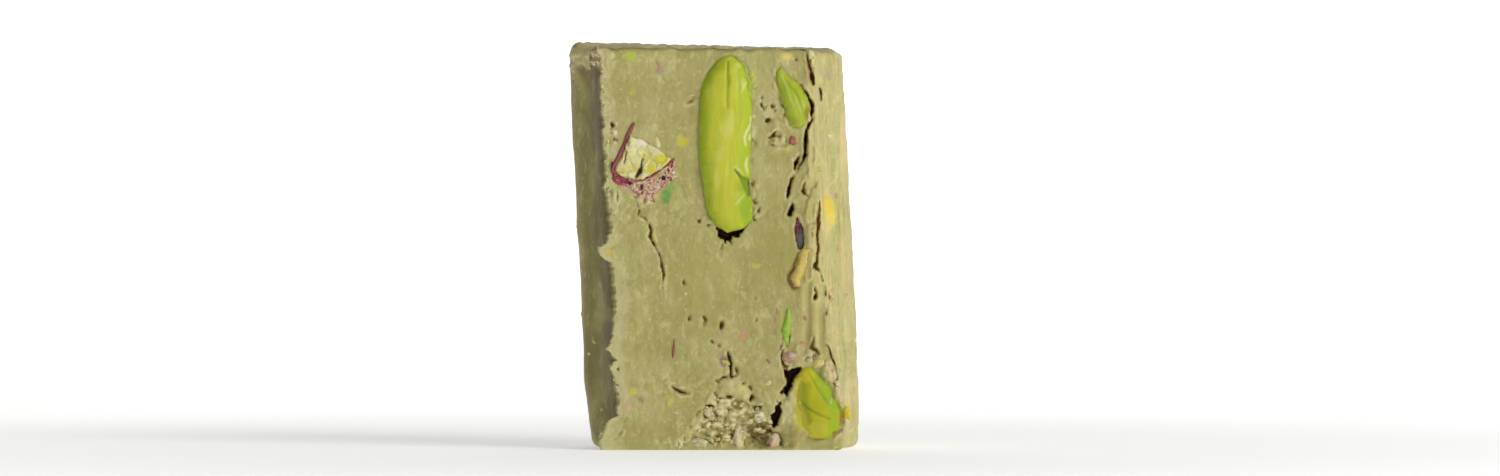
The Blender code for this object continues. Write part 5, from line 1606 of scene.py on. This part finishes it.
def walked(outline, spacing, seed):
    """Places about that far apart all round an outline, made uneven, in two columns."""
    border = []
    for (x0, z0), (x1, z1) in zip(outline, outline[1:] + outline[:1]):
        steps = max(1, round(math.hypot(x1 - x0, z1 - z0) / spacing))
        border += [(x0 + (x1 - x0) * i / steps, z0 + (z1 - z0) * i / steps) for i in range(steps)]
    border = np.array(border)
    flat = on_cut(*border.T)
    border[:, 0] += clouds(0.0, flat, (0.07, 0.5, seed), (0.03, 0.2, seed + 1))
    border[:, 1] += clouds(0.0, flat, (0.07, 0.5, seed + 2), (0.03, 0.2, seed + 3))
    return border


def slab(outline, spacing, face_y, back_y, rounded, seed):
    """A plate with that outline and a face y from a function of x and z: points and faces."""
    border = walked(outline, spacing, seed)
    low, high = border.min(0), border.max(0)
    grid = np.stack(np.meshgrid(
        np.arange(low[0], high[0], spacing), np.arange(low[1], high[1], spacing)
    ), axis=2).reshape(-1, 2)
    grid += np.random.default_rng(seed).uniform(-0.25, 0.25, grid.shape) * spacing
    ring = [tuple(p) for p in border]
    grid = grid[inside_outline(*grid.T, ring) > spacing * 0.6]
    places = [Vector(p) for p in np.concatenate([border, grid])]
    edges = [(i, (i + 1) % len(border)) for i in range(len(border))]
    out, _, triangles, _, _, _ = delaunay_2d_cdt(places, edges, [], 1, 1e-5)
    x, z = np.array([p[:] for p in out]).T
    within = inside_outline(x, z, ring)
    drop = rounded * (1 - np.sqrt(1 - np.clip(1 - within / rounded, 0.0, 1.0) ** 2))
    face = np.stack([x, face_y(x, z) + drop, z], axis=1)
    back = np.stack([x, np.full_like(x, back_y), z], axis=1)
    count = len(x)
    faces = [tuple(t) for t in triangles]
    faces += [tuple(i + count for i in reversed(t)) for t in triangles]
    used = {pair: True for t in triangles for pair in zip(t, (*t[1:], t[0]))}
    faces += [(b, a, a + count, b + count) for a, b in used if (b, a) not in used]
    return np.concatenate([face, back]), faces


def ribbon(path, out, deep, steps, ragged=0.45):
    """A band along points of x, z and half width: points and faces."""
    line = rail(path, steps)
    way = np.gradient(line[:, :2], axis=0)
    way /= np.linalg.norm(way, axis=1)[:, None]
    across = np.stack([-way[:, 1], way[:, 0]], axis=1)
    flat = on_cut(line[:, 0], line[:, 1])
    wide = line[:, 2] * (1 + ragged * cloud(flat, 0.35, 81))
    turns = np.linspace(0, 2 * math.pi, RIBBON_SIDES, endpoint=False)
    spread = across[:, None] * (wide[:, None] * np.cos(turns)[None])[..., None]
    lift = np.where(np.sin(turns) > 0, -out, deep) * np.abs(np.sin(turns))
    y = CUT_Y + lift[None] * (1 + 0.5 * cloud(flat, 0.4, 82))[:, None]
    rings = np.stack([line[:, None, 0] + spread[..., 0], y, line[:, None, 1] + spread[..., 1]], 2)
    ends = [(line[i, 0], CUT_Y, line[i, 1]) for i in (0, -1)]
    return rings_and_poles(rings, *ends)


def scattered(outline, count, random):
    """Random places inside an outline."""
    ring = list(outline)
    low, high = np.min(ring, axis=0), np.max(ring, axis=0)
    tries = random.uniform(low, high, (count * 6, 2))
    return tries[inside_outline(*tries.T, ring) > 0.02][:count]


def tongue_face(x, z):
    """The face of the flake of paste that stands out at the right, highest at its foot."""
    flat = on_cut(x, z)
    y = CUT_Y - 0.45 + 0.3 * ease(z, 13.2, 15.1) + 0.07 * cloud(flat, (0.8, 1.0, 1.6), 97)
    side = np.interp(z, *np.array(TONGUE_SIDE).T)
    y += 0.5 * ease(x + 0.15 * cloud(flat, 0.5, 95), side - 0.8, side)
    near, _, _ = pebbles(flat, (0.5, 1.0, 0.9), 96)
    return clouds(y + 0.1 * near, flat, (0.04, 0.35, 98), (0.02, 0.16, 99))


def core_cracks(x, z):
    """How far inside the two cracks of the broken nut each place is."""
    flat = on_cut(x, z)
    bent = clouds(x, flat, (0.06, 0.3, 89))
    crack, thin = (inside_path(bent, z, path) for path in CORE_CRACKS)
    return crack, thin - 0.06 * ease(cloud(flat, 0.3, 90), 0.0, 0.6)


def core_face(x, z):
    """The broken face of the nut: facets, steps and grains."""
    flat = on_cut(x, z)
    near, second, number = pebbles(flat, 0.9, 91)
    y = CUT_Y - 0.3 + 0.12 * cloud(flat, 1.6, 92) - 0.08 * (number - 0.5)
    y += clouds(0.0, flat, (0.05, 0.4, 93), (0.02, 0.18, 94))
    y += 0.1 * ease(second - near, 0.14, 0.0)
    crack, thin = core_cracks(x, z)
    return y + 0.35 * ease(crack, -0.05, 0.06) + 0.15 * ease(thin, -0.05, 0.03)


class TRUFFLE_OT_broken_nut(bpy.types.Operator):
    """Build the broken nut at the left and its skin"""

    bl_idname = "truffle.broken_nut"
    bl_label = "Broken Nut"

    def execute(self, context):
        _, colours = pieces_for(context)
        points, faces = slab(CORE, 0.085, core_face, CUT_Y + 1.5, 0.16, 95)
        core = object_from("nut_core", points, faces, core_material(colours))
        turn_outward(core.data)
        x, z = points[:, 0], points[:, 2]
        crack, thin = core_cracks(x, z)
        # The share deep is painted shade down in the two cracks.
        deep = np.maximum(ease(crack, -0.05, 0.05), 0.9 * ease(thin, -0.04, 0.03))
        write_share(core.data, "deep", deep)
        tint = np.zeros((len(x), 4))
        paint_patches(tint, x, z, CORE_PATCHES)
        write_tint(core.data, tint)
        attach(core, "root")
        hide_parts("nut_core")

        heap = Heap(7)
        heap.add(*ribbon(SKIN_STRIP, 0.22, 0.6, 130), (172, 88, 96))
        for x, z in scattered(SKIN_CRUMBS, 900, heap.random):
            size = heap.random.uniform(0.03, 0.09)
            stray = heap.random.uniform() < 0.15
            pink = stray or (x < -6.4 and z > 19.2)
            pick = heap.random.integers(*(PINKS if pink else PALES))
            half = (size * 1.3, size * 0.7, size * heap.random.uniform(0.7, 1.2))
            y = CUT_Y - heap.random.uniform(-0.05, 0.05)
            heap.lump((x, y, z), half, SKIN_SEEN[pick], heap.random.uniform(-1, 1), 0.4)
        for x, z, wide, tall, seen in SKIN_FOLDS:
            heap.lump((x, CUT_Y - 0.06, z), (wide, 0.16, tall), seen)
        skin = heap.finish("nut_skin", skin_material(colours))
        write_share(skin.data, "deep", np.zeros(len(skin.data.vertices)))
        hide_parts("nut_skin")
        return {"FINISHED"}


# Crumbs of paste in the hollow, listed one by one: x, z, half width, half height, out, colour as
# seen.
CHUNKS = (
    (-0.3, 2.7, 0.34, 0.34, 0.5, (226, 219, 172)), (0.5, 3.15, 0.3, 0.26, 0.5, (220, 211, 158)),
    (3.25, 2.45, 0.36, 0.34, 0.5, (230, 223, 184)), (0.35, 1.9, 0.36, 0.24, 0.4, (222, 214, 164)),
    (1.73, 1.05, 0.28, 0.72, 0.7, (230, 212, 172)), (4.33, 0.42, 0.48, 0.42, 0.62, (228, 204, 168)),
    (-1.3, 0.55, 0.45, 0.24, 0.4, (230, 224, 186)), (-2.2, 0.45, 0.3, 0.2, 0.3, (226, 219, 174)),
)
# Crumbs behind the cut on the shoulder at the upper left: x, behind the cut, z and radius.
SHOULDER = (
    (-9.3, 2.6, 29.1, 0.26), (-8.85, 1.5, 29.2, 0.22), (-8.5, 0.6, 29.1, 0.2),
    (-8.75, 1.2, 28.55, 0.24), (-8.45, 0.4, 28.5, 0.18), (-9.2, 2.4, 28.2, 0.14),
)
# Torn and crumbled edges: share, colour as seen, and points of x, z and half width.
FRINGES = (
    (0.45, (204, 208, 104), ((2.62, 28.1, 0.12), (2.9, 27.4, 0.2), (3.0, 26.8, 0.2),
                             (2.9, 26.2, 0.1))),
    (0.8, (222, 228, 168), ((2.85, 24.9, 0.08), (2.85, 23.6, 0.12), (2.85, 22.4, 0.08))),
    (0.8, (216, 222, 150), ((2.85, 21.5, 0.08), (2.9, 20.4, 0.14), (2.85, 19.5, 0.12))),
    (0.9, (212, 206, 140), ((2.9, 19.2, 0.12), (3.05, 18.2, 0.2), (3.0, 17.2, 0.2),
                            (2.8, 16.6, 0.1))),
    (0.9, (220, 213, 154), ((-1.2, 17.3, 0.12), (-0.75, 16.9, 0.2), (-0.1, 16.4, 0.15))),
    (0.6, (208, 202, 132), ((4.3, 28.0, 0.1), (4.5, 26.5, 0.1), (5.1, 24.9, 0.14),
                            (5.5, 23.9, 0.1))),
    (0.8, (216, 204, 152), ((-8.35, 29.1, 0.3), (-8.3, 28.4, 0.25), (-8.1, 27.7, 0.15))),
    (0.9, (226, 220, 172), ((-7.3, 23.9, 0.2), (-7.5, 23.3, 0.25), (-7.4, 22.6, 0.15))),
    (0.9, (214, 205, 150), ((-7.7, 19.2, 0.3), (-7.3, 18.6, 0.3), (-7.4, 17.6, 0.3))),
    (0.9, (208, 200, 140), ((4.95, 7.8, 0.2), (5.0, 6.9, 0.25), (5.2, 6.1, 0.25),
                            (6.4, 6.3, 0.25))),
    (0.9, (210, 200, 146), ((6.2, 7.6, 0.3), (6.8, 7.0, 0.4), (7.2, 6.8, 0.3))),
    (0.8, (214, 207, 146), ((2.7, 4.6, 0.2), (3.4, 4.0, 0.25), (4.4, 3.5, 0.3))),
    (0.9, (224, 198, 152), ((8.1, 6.6, 0.25), (8.8, 5.4, 0.3), (9.2, 4.2, 0.3), (9.4, 3.6, 0.2))),
    (0.8, (214, 206, 142), ((-2.0, 1.2, 0.2), (-1.3, 2.3, 0.25), (-0.8, 3.2, 0.25),
                            (-0.1, 4.2, 0.2))),
    (0.8, (222, 210, 146), ((7.2, 29.2, 0.16), (7.15, 28.4, 0.14), (7.5, 27.4, 0.2))),
    (0.7, (208, 200, 138), ((3.3, 25.6, 0.3), (3.9, 24.6, 0.4), (4.6, 23.4, 0.35),
                            (5.3, 22.6, 0.2))),
    (0.6, (228, 198, 130), ((7.8, 15.4, 0.15), (8.1, 13.6, 0.2), (8.5, 11.6, 0.2), (8.8, 9.6, 0.25),
                            (8.9, 7.8, 0.3), (9.2, 6.2, 0.2))),
    (0.7, (208, 192, 120), ((6.9, 21.4, 0.12), (6.7, 19.6, 0.2), (6.5, 18.6, 0.2))),
    (0.8, (218, 208, 150), ((-5.9, 18.9, 0.3), (-5.2, 18.3, 0.4), (-4.6, 18.4, 0.2))),
)


class TRUFFLE_OT_paste_crumbs(bpy.types.Operator):
    """Build the crumbs of paste in the hollow, on the shoulder and along the left edge"""

    bl_idname = "truffle.paste_crumbs"
    bl_label = "Paste Crumbs"

    def execute(self, context):
        heap = Heap(11)
        for x, z, wide, tall, out, seen in CHUNKS:
            deep = min(wide, tall) * 1.1
            y = CUT_Y + 0.7 - out + deep * 0.6
            half = (wide * 1.1, deep, tall * 1.1)
            heap.lump((x, y, z), half, seen, heap.random.uniform(-0.3, 0.3), 0.34, 3)
        for x, z in scattered(HOLLOW, 130, heap.random):
            size = heap.random.uniform(0.07, 0.2)
            olive = 2.2 < x < 5.0 and z < 1.9
            if olive or inside_outline(np.array([x]), np.array([z]), BUMP)[0] > -0.1:
                continue
            y = CUT_Y + heap.random.uniform(0.15, 0.4)
            seen = np.array((228, 216, 156)) + heap.random.uniform(-24, 12)
            half = (size * heap.random.uniform(0.9, 1.5), size, size * 0.9)
            heap.lump((x, y, z), half, tuple(seen), heap.random.uniform(-0.8, 0.8), 0.3, 3)
        points, faces = slab(TONGUE, 0.08, tongue_face, CUT_Y + 0.5, 0.22, 120)
        heap.add(points, faces, (216, 192, 100))
        heights, places = np.array(LEFT_LIP).T
        for z in heap.random.uniform(0.2, 28.6, 190):
            size = heap.random.uniform(0.04, 0.13)
            x = np.interp(z, heights, places) + heap.random.uniform(-0.05, 0.3)
            y = CUT_Y + heap.random.uniform(0.02, 0.2)
            seen = np.array((212, 203, 142)) + heap.random.uniform(-14, 14)
            heap.lump((x, y, z), (size, size, size * 1.2), tuple(seen), 0.0, 0.3)
        for x, behind, z, size in SHOULDER:
            half = (size * 1.25, size * 1.2, size)
            heap.lump((x, CUT_Y + behind, z), half, (228, 208, 160), 0.0, 0.3, 3)
        heap.finish("paste_crumbs", bit_material("paste_crumb", (0.84, 0.77, 0.46), 0.3))
        return {"FINISHED"}


# Bits set in the cut face: x, z, half width, half height, how far out, turn, colour as seen.
# The kernel bits also have a long sliver, as points of x, z and half width.
KERNEL_BITS = (
    (9.79, 2.75, 0.2, 0.36, 0.05, 0.0, (240, 214, 70)),
)
SLIVER = (
    (5.44, 10.35, 0.1), (5.42, 9.8, 0.17), (5.34, 9.2, 0.24), (5.26, 8.6, 0.27), (5.28, 8.1, 0.18),
    (5.36, 7.72, 0.06),
)
SKIN_BITS = (
    (5.73, 22.72, 0.32, 0.3, 0.1, 0.3, (158, 90, 68)),
    (-3.0, 7.5, 0.08, 0.7, 0.03, 0.1, (156, 98, 80)),
    (6.05, 16.6, 0.24, 0.3, -0.05, 0.3, (118, 58, 72)),
    (6.3, 16.2, 0.2, 0.34, -0.1, 0.0, (96, 46, 58)),
    (6.12, 15.95, 0.16, 0.3, -0.12, 0.2, (134, 72, 90)),
    (6.36, 16.75, 0.1, 0.14, 0.0, 0.0, (206, 140, 138)),
    (6.25, 15.35, 0.24, 0.5, -0.12, 0.1, (92, 84, 74)),
    (3.98, 0.37, 0.1, 0.12, 0.3, 0.0, (140, 70, 50)),
    (5.5, 6.8, 0.5, 0.48, 0.22, 0.2, (186, 150, 132)),
    (5.72, 6.95, 0.3, 0.26, 0.28, 0.4, (214, 190, 160)),
)
CREAM_BITS = (
    (-7.35, 23.35, 0.2, 0.22, 0.1, 0.2, (236, 230, 186)),
    (-8.1, 25.22, 0.1, 0.1, 0.04, 0.0, (236, 230, 180)),
    (7.1, 29.15, 0.2, 0.18, 0.05, 0.0, (232, 224, 172)),
    (-4.1, 22.55, 0.4, 0.36, 0.03, 0.5, (230, 222, 158)),
    (7.61, 6.39, 0.4, 0.28, 0.14, -0.2, (222, 204, 118)),
    (8.22, 5.56, 0.34, 0.34, 0.1, 0.3, (226, 200, 156)),
    (8.96, 4.25, 0.22, 0.42, 0.1, 0.0, (224, 194, 154)),
    (8.45, 3.6, 0.16, 0.16, 0.1, 0.0, (226, 226, 170)),
)
# How large strewn bits are at least and at most, as shares of the bit size, their turn in
# radians, how uneven they are in millimetres, and how many to a square metre at most.
BIT_SIZES = ((1.0, 0.5, 0.4), (2.6, 1.5, 0.8))
FULL_TURN = 6.28
BIT_ROUGHNESS = 0.18
MOST_BITS = 3.0e6


def bits_tree():
    """Bits of nut strewn over a host where its share allows, each with a size and tint."""
    tree, maker, given = new_tree("Strewn bits", {
        "Host": "object", "Bit Size": "number", "Spacing": "number", "Seed": "whole",
        "Material": "material", "Red": "number", "Green": "number", "Blue": "number",
    })
    float_vector = {"data_type": "FLOAT_VECTOR"}
    number = {"data_type": "FLOAT"}

    def random(settings, values, output=0):
        return maker.wire("FunctionNodeRandomValue", settings, values, output)

    host = maker.wire("GeometryNodeObjectInfo", {}, {0: given["Host"]}, 4)
    share = maker.wire("GeometryNodeInputNamedAttribute", number, {"Name": "bare"})
    dots = maker.add(
        "GeometryNodeDistributePointsOnFaces", {"distribute_method": "POISSON"},
        {"Mesh": host, "Distance Min": given["Spacing"], "Density Max": MOST_BITS,
         "Density Factor": share, "Seed": given["Seed"]},
    )
    places, normal, rotation = (Wire(maker, socket) for socket in dots.outputs[:3])
    grain = maker.wire("GeometryNodeMeshIcoSphere", {}, {"Radius": 1.0, "Subdivisions": 3})
    low, high = (
        maker.vector(*(given["Bit Size"] * part for part in parts)) for parts in BIT_SIZES
    )
    size = random(float_vector, {0: low, 1: high, "Seed": given["Seed"] + 1.0})
    spin = maker.vector(0.0, 0.0, random(number, {2: 0.0, 3: FULL_TURN, "Seed": 3}, 1))
    spin = maker.wire("FunctionNodeEulerToRotation", {}, {0: spin})
    turned = maker.wire(
        "FunctionNodeRotateRotation", {"rotation_space": "LOCAL"}, {0: rotation, 1: spin}
    )
    sunk = maker.vector_math("SCALE", {0: normal, 3: given["Bit Size"] * -0.38})
    places = maker.wire("GeometryNodeSetPosition", {}, {0: places, 3: sunk})
    strewn = maker.wire("GeometryNodeInstanceOnPoints", {}, {
        "Points": places, "Instance": grain, "Rotation": turned, "Scale": size,
    })
    lighter = random(number, {2: 0.85, 3: 1.15, "Seed": 9}, 1)
    own = maker.wire("FunctionNodeCombineColor", {}, {
        i: given[name] * lighter for i, name in enumerate(("Red", "Green", "Blue"))
    })
    strewn = maker.wire(
        "GeometryNodeStoreNamedAttribute", {"data_type": "FLOAT_COLOR", "domain": "INSTANCE"},
        {0: strewn, "Name": "tint", "Value": own},
    )
    real = maker.wire("GeometryNodeRealizeInstances", {}, {0: strewn})
    bump = maker.wire("ShaderNodeTexNoise", {}, {2: 2600.0, 3: 2.0}, 1)
    shift = maker.vector_math("SUBTRACT", {0: bump, 1: (0.5,) * 3})
    shift = maker.vector_math("SCALE", {0: shift, 3: BIT_ROUGHNESS * MM})
    rough = maker.wire("GeometryNodeSetPosition", {}, {0: real, 3: shift})
    close_tree(maker, rough, given["Material"])
    return tree


# The kinds of bits: what they are called, those listed one by one, their pale spots, the colour
# as seen of the strewn ones, and how many times the least distance these keep.
BIT_KINDS = (
    ("kernel_bits", KERNEL_BITS, (0.8, 0.76, 0.25), (196, 194, 92), 5.0),
    ("skin_bits", SKIN_BITS, (0.66, 0.4, 0.3), (178, 128, 104), 5.6),
    ("cream_bits", CREAM_BITS, (0.86, 0.8, 0.5), (222, 212, 156), 3.6),
)


class TRUFFLE_OT_bits(bpy.types.Operator):
    """Build the bits of kernel, skin and cream nut in the paste, placed and strewn"""

    bl_idname = "truffle.bits"
    bl_label = "Bits"

    def execute(self, context):
        sizes, _ = pieces_for(context)
        host = bpy.data.objects["paste"]
        tree = bits_tree()
        for order, (name, placed, pale, seen, rarer) in enumerate(BIT_KINDS):
            material = bit_material(name, pale)
            heap = Heap(31 + order)
            for x, z, wide, tall, out, turn, own in placed:
                deep = max(0.8 * min(wide, tall), 0.12)
                larger = 1 / math.sqrt(1 - min(max(1 - out / deep, 0.0), 0.8) ** 2)
                half = (wide * larger, deep, tall * larger)
                heap.lump((x, CUT_Y - out + deep, z), half, own, turn, 0.2, 3)
            if placed is KERNEL_BITS:
                heap.add(*ribbon(SLIVER, 0.1, 0.3, 90, 0.2), (158, 200, 60))
            heap.finish(name, material)
            strewn = object_from(name + "_strewn", np.zeros((0, 3)), [], None)
            red, green, blue = linear(*seen)
            run_tree(strewn, tree, {
                "Host": host, "Bit Size": sizes.bit_size, "Spacing": sizes.bit_spacing * rarer,
                "Seed": sizes.scatter_seed + order, "Material": material, "Red": red,
                "Green": green, "Blue": blue,
            })
            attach(strewn, "root")
        return {"FINISHED"}


# The stage

# In millimetres: the floor's edges at the front and the sides, where it begins to rise behind
# the truffle, the radius of that sweep, and its top.
FLOOR_FRONT = -900.0
FLOOR_SIDE = 1200.0
SWEEP_Y = 800.0
SWEEP_RADIUS = 250.0
SWEEP_TOP = 900.0
# The camera looks straight at the cut from that far away, at an x and a z.
CAMERA_AWAY = 459.6
CAMERA_AIM = (2.61, 15.59)
# The soft light: where it is, where it points and how wide it is, in metres.
KEY_PLACE = (0.46, -0.4, 0.3)
KEY_AIM = (0.0, 0.0, 0.015)
KEY_WIDTH = 0.4


class TRUFFLE_OT_stage(bpy.types.Operator):
    """Set the floor, the light and the camera"""

    bl_idname = "truffle.stage"
    bl_label = "Stage"

    def execute(self, context):
        settings = context.scene.truffle_stage
        self.floor(settings)
        self.light(context.scene, settings)
        self.camera(context.scene)
        return {"FINISHED"}

    def floor(self, settings):
        """A wide floor that turns up behind the truffle, brighter far away."""
        profile = [(FLOOR_FRONT, 0.0)]
        for turn in np.linspace(0.0, math.pi / 2, 24):
            y = SWEEP_Y + SWEEP_RADIUS * math.sin(turn)
            profile.append((y, SWEEP_RADIUS - SWEEP_RADIUS * math.cos(turn)))
        profile.append((SWEEP_Y + SWEEP_RADIUS, SWEEP_TOP))
        points = [(x, y, z) for y, z in profile for x in (-FLOOR_SIDE, FLOOR_SIDE)]
        faces = [(2 * i, 2 * i + 1, 2 * i + 3, 2 * i + 2) for i in range(len(profile) - 1)]
        material, maker, place = new_material("stage_floor")
        away = maker.vector_math("LENGTH", {0: place}, 1)
        glow = maker.layers(
            (settings.floor_glow / settings.backdrop_glow,) * 3,
            ((0.7, 0.7, 0.7), away.between(25.0, 120.0)),
            ((1.0, 1.0, 1.0), away.between(150.0, 700.0)),
        )
        shader = maker.wire("ShaderNodeBsdfPrincipled", {}, {
            "Base Color": (*settings.floor, 1.0), "Roughness": 0.9, "Emission Color": glow,
            "Emission Strength": settings.backdrop_glow,
        })
        maker.add("ShaderNodeOutputMaterial", {}, {"Surface": shader})
        object_from("floor", points, faces, material)

    def light(self, scene, settings):
        """A soft light at the right, and surroundings that are brighter there and above."""
        lamp = bpy.data.lights.new("key", "AREA")
        lamp.shape = "DISK"
        lamp.size = KEY_WIDTH
        lamp.energy = settings.key_power
        holder = bpy.data.objects.new("key", lamp)
        holder.location = KEY_PLACE
        aim = Vector(KEY_AIM) - Vector(KEY_PLACE)
        holder.rotation_euler = aim.to_track_quat("-Z", "Y").to_euler()
        scene.collection.objects.link(holder)
        world = bpy.data.worlds.new("surroundings")
        world.use_nodes = True
        world.node_tree.nodes.clear()
        maker = Maker(world.node_tree)
        side, _, up = maker.parts(maker.wire("ShaderNodeTexCoord", {}, {}, "Generated"))
        more = settings.world - settings.world_left
        power = settings.world_left + side.between(-0.8, 0.9) * more
        power = power + up.between(0.3, 1.0) * settings.world_top
        glow = maker.wire("ShaderNodeBackground", {}, {"Strength": power})
        maker.add("ShaderNodeOutputWorld", {}, {"Surface": glow})
        scene.world = world

    def camera(self, scene):
        lens = bpy.data.cameras.new("camera")
        lens.lens = 150.0
        lens.sensor_width = 36.0
        lens.clip_start = 0.01
        lens.clip_end = 10.0
        camera = bpy.data.objects.new("camera", lens)
        x, z = CAMERA_AIM
        camera.location = (x * MM, (CUT_Y - CAMERA_AWAY) * MM, z * MM)
        camera.rotation_euler = (math.pi / 2, 0.0, 0.0)
        scene.collection.objects.link(camera)
        scene.camera = camera
        scene.view_settings.view_transform = "Standard"
        scene.view_settings.look = "None"


class TRUFFLE_PT_panel(bpy.types.Panel):
    """The pieces, their sizes and their colours"""

    bl_label = "Pistachio Truffle"
    bl_idname = "TRUFFLE_PT_panel"
    bl_space_type = "VIEW_3D"
    bl_region_type = "UI"
    bl_category = "Truffle"

    def draw(self, context):
        for operator in OPERATORS:
            self.layout.operator(operator.bl_idname)
        for holder in ("truffle_sizes", "truffle_colours", "truffle_stage"):
            settings = getattr(context.scene, holder)
            for name in settings.__annotations__:
                self.layout.prop(settings, name)


OPERATORS = (
    TRUFFLE_OT_paste, TRUFFLE_OT_kernels, TRUFFLE_OT_broken_nut, TRUFFLE_OT_paste_crumbs,
    TRUFFLE_OT_bits, TRUFFLE_OT_stage,
)
CLASSES = (TruffleSizes, TruffleColours, StageSettings, *OPERATORS, TRUFFLE_PT_panel)


def register():
    for kind in CLASSES:
        bpy.utils.register_class(kind)
    bpy.types.Scene.truffle_sizes = PointerProperty(type=TruffleSizes)
    bpy.types.Scene.truffle_colours = PointerProperty(type=TruffleColours)
    bpy.types.Scene.truffle_stage = PointerProperty(type=StageSettings)


def unregister():
    del bpy.types.Scene.truffle_stage
    del bpy.types.Scene.truffle_colours
    del bpy.types.Scene.truffle_sizes
    for kind in reversed(CLASSES):
        bpy.utils.unregister_class(kind)


def main():
    register()
    bpy.ops.truffle.paste()
    bpy.ops.truffle.kernels()
    bpy.ops.truffle.broken_nut()
    bpy.ops.truffle.paste_crumbs()
    bpy.ops.truffle.bits()
    bpy.ops.truffle.stage()


if __name__ == "__main__":
    main()
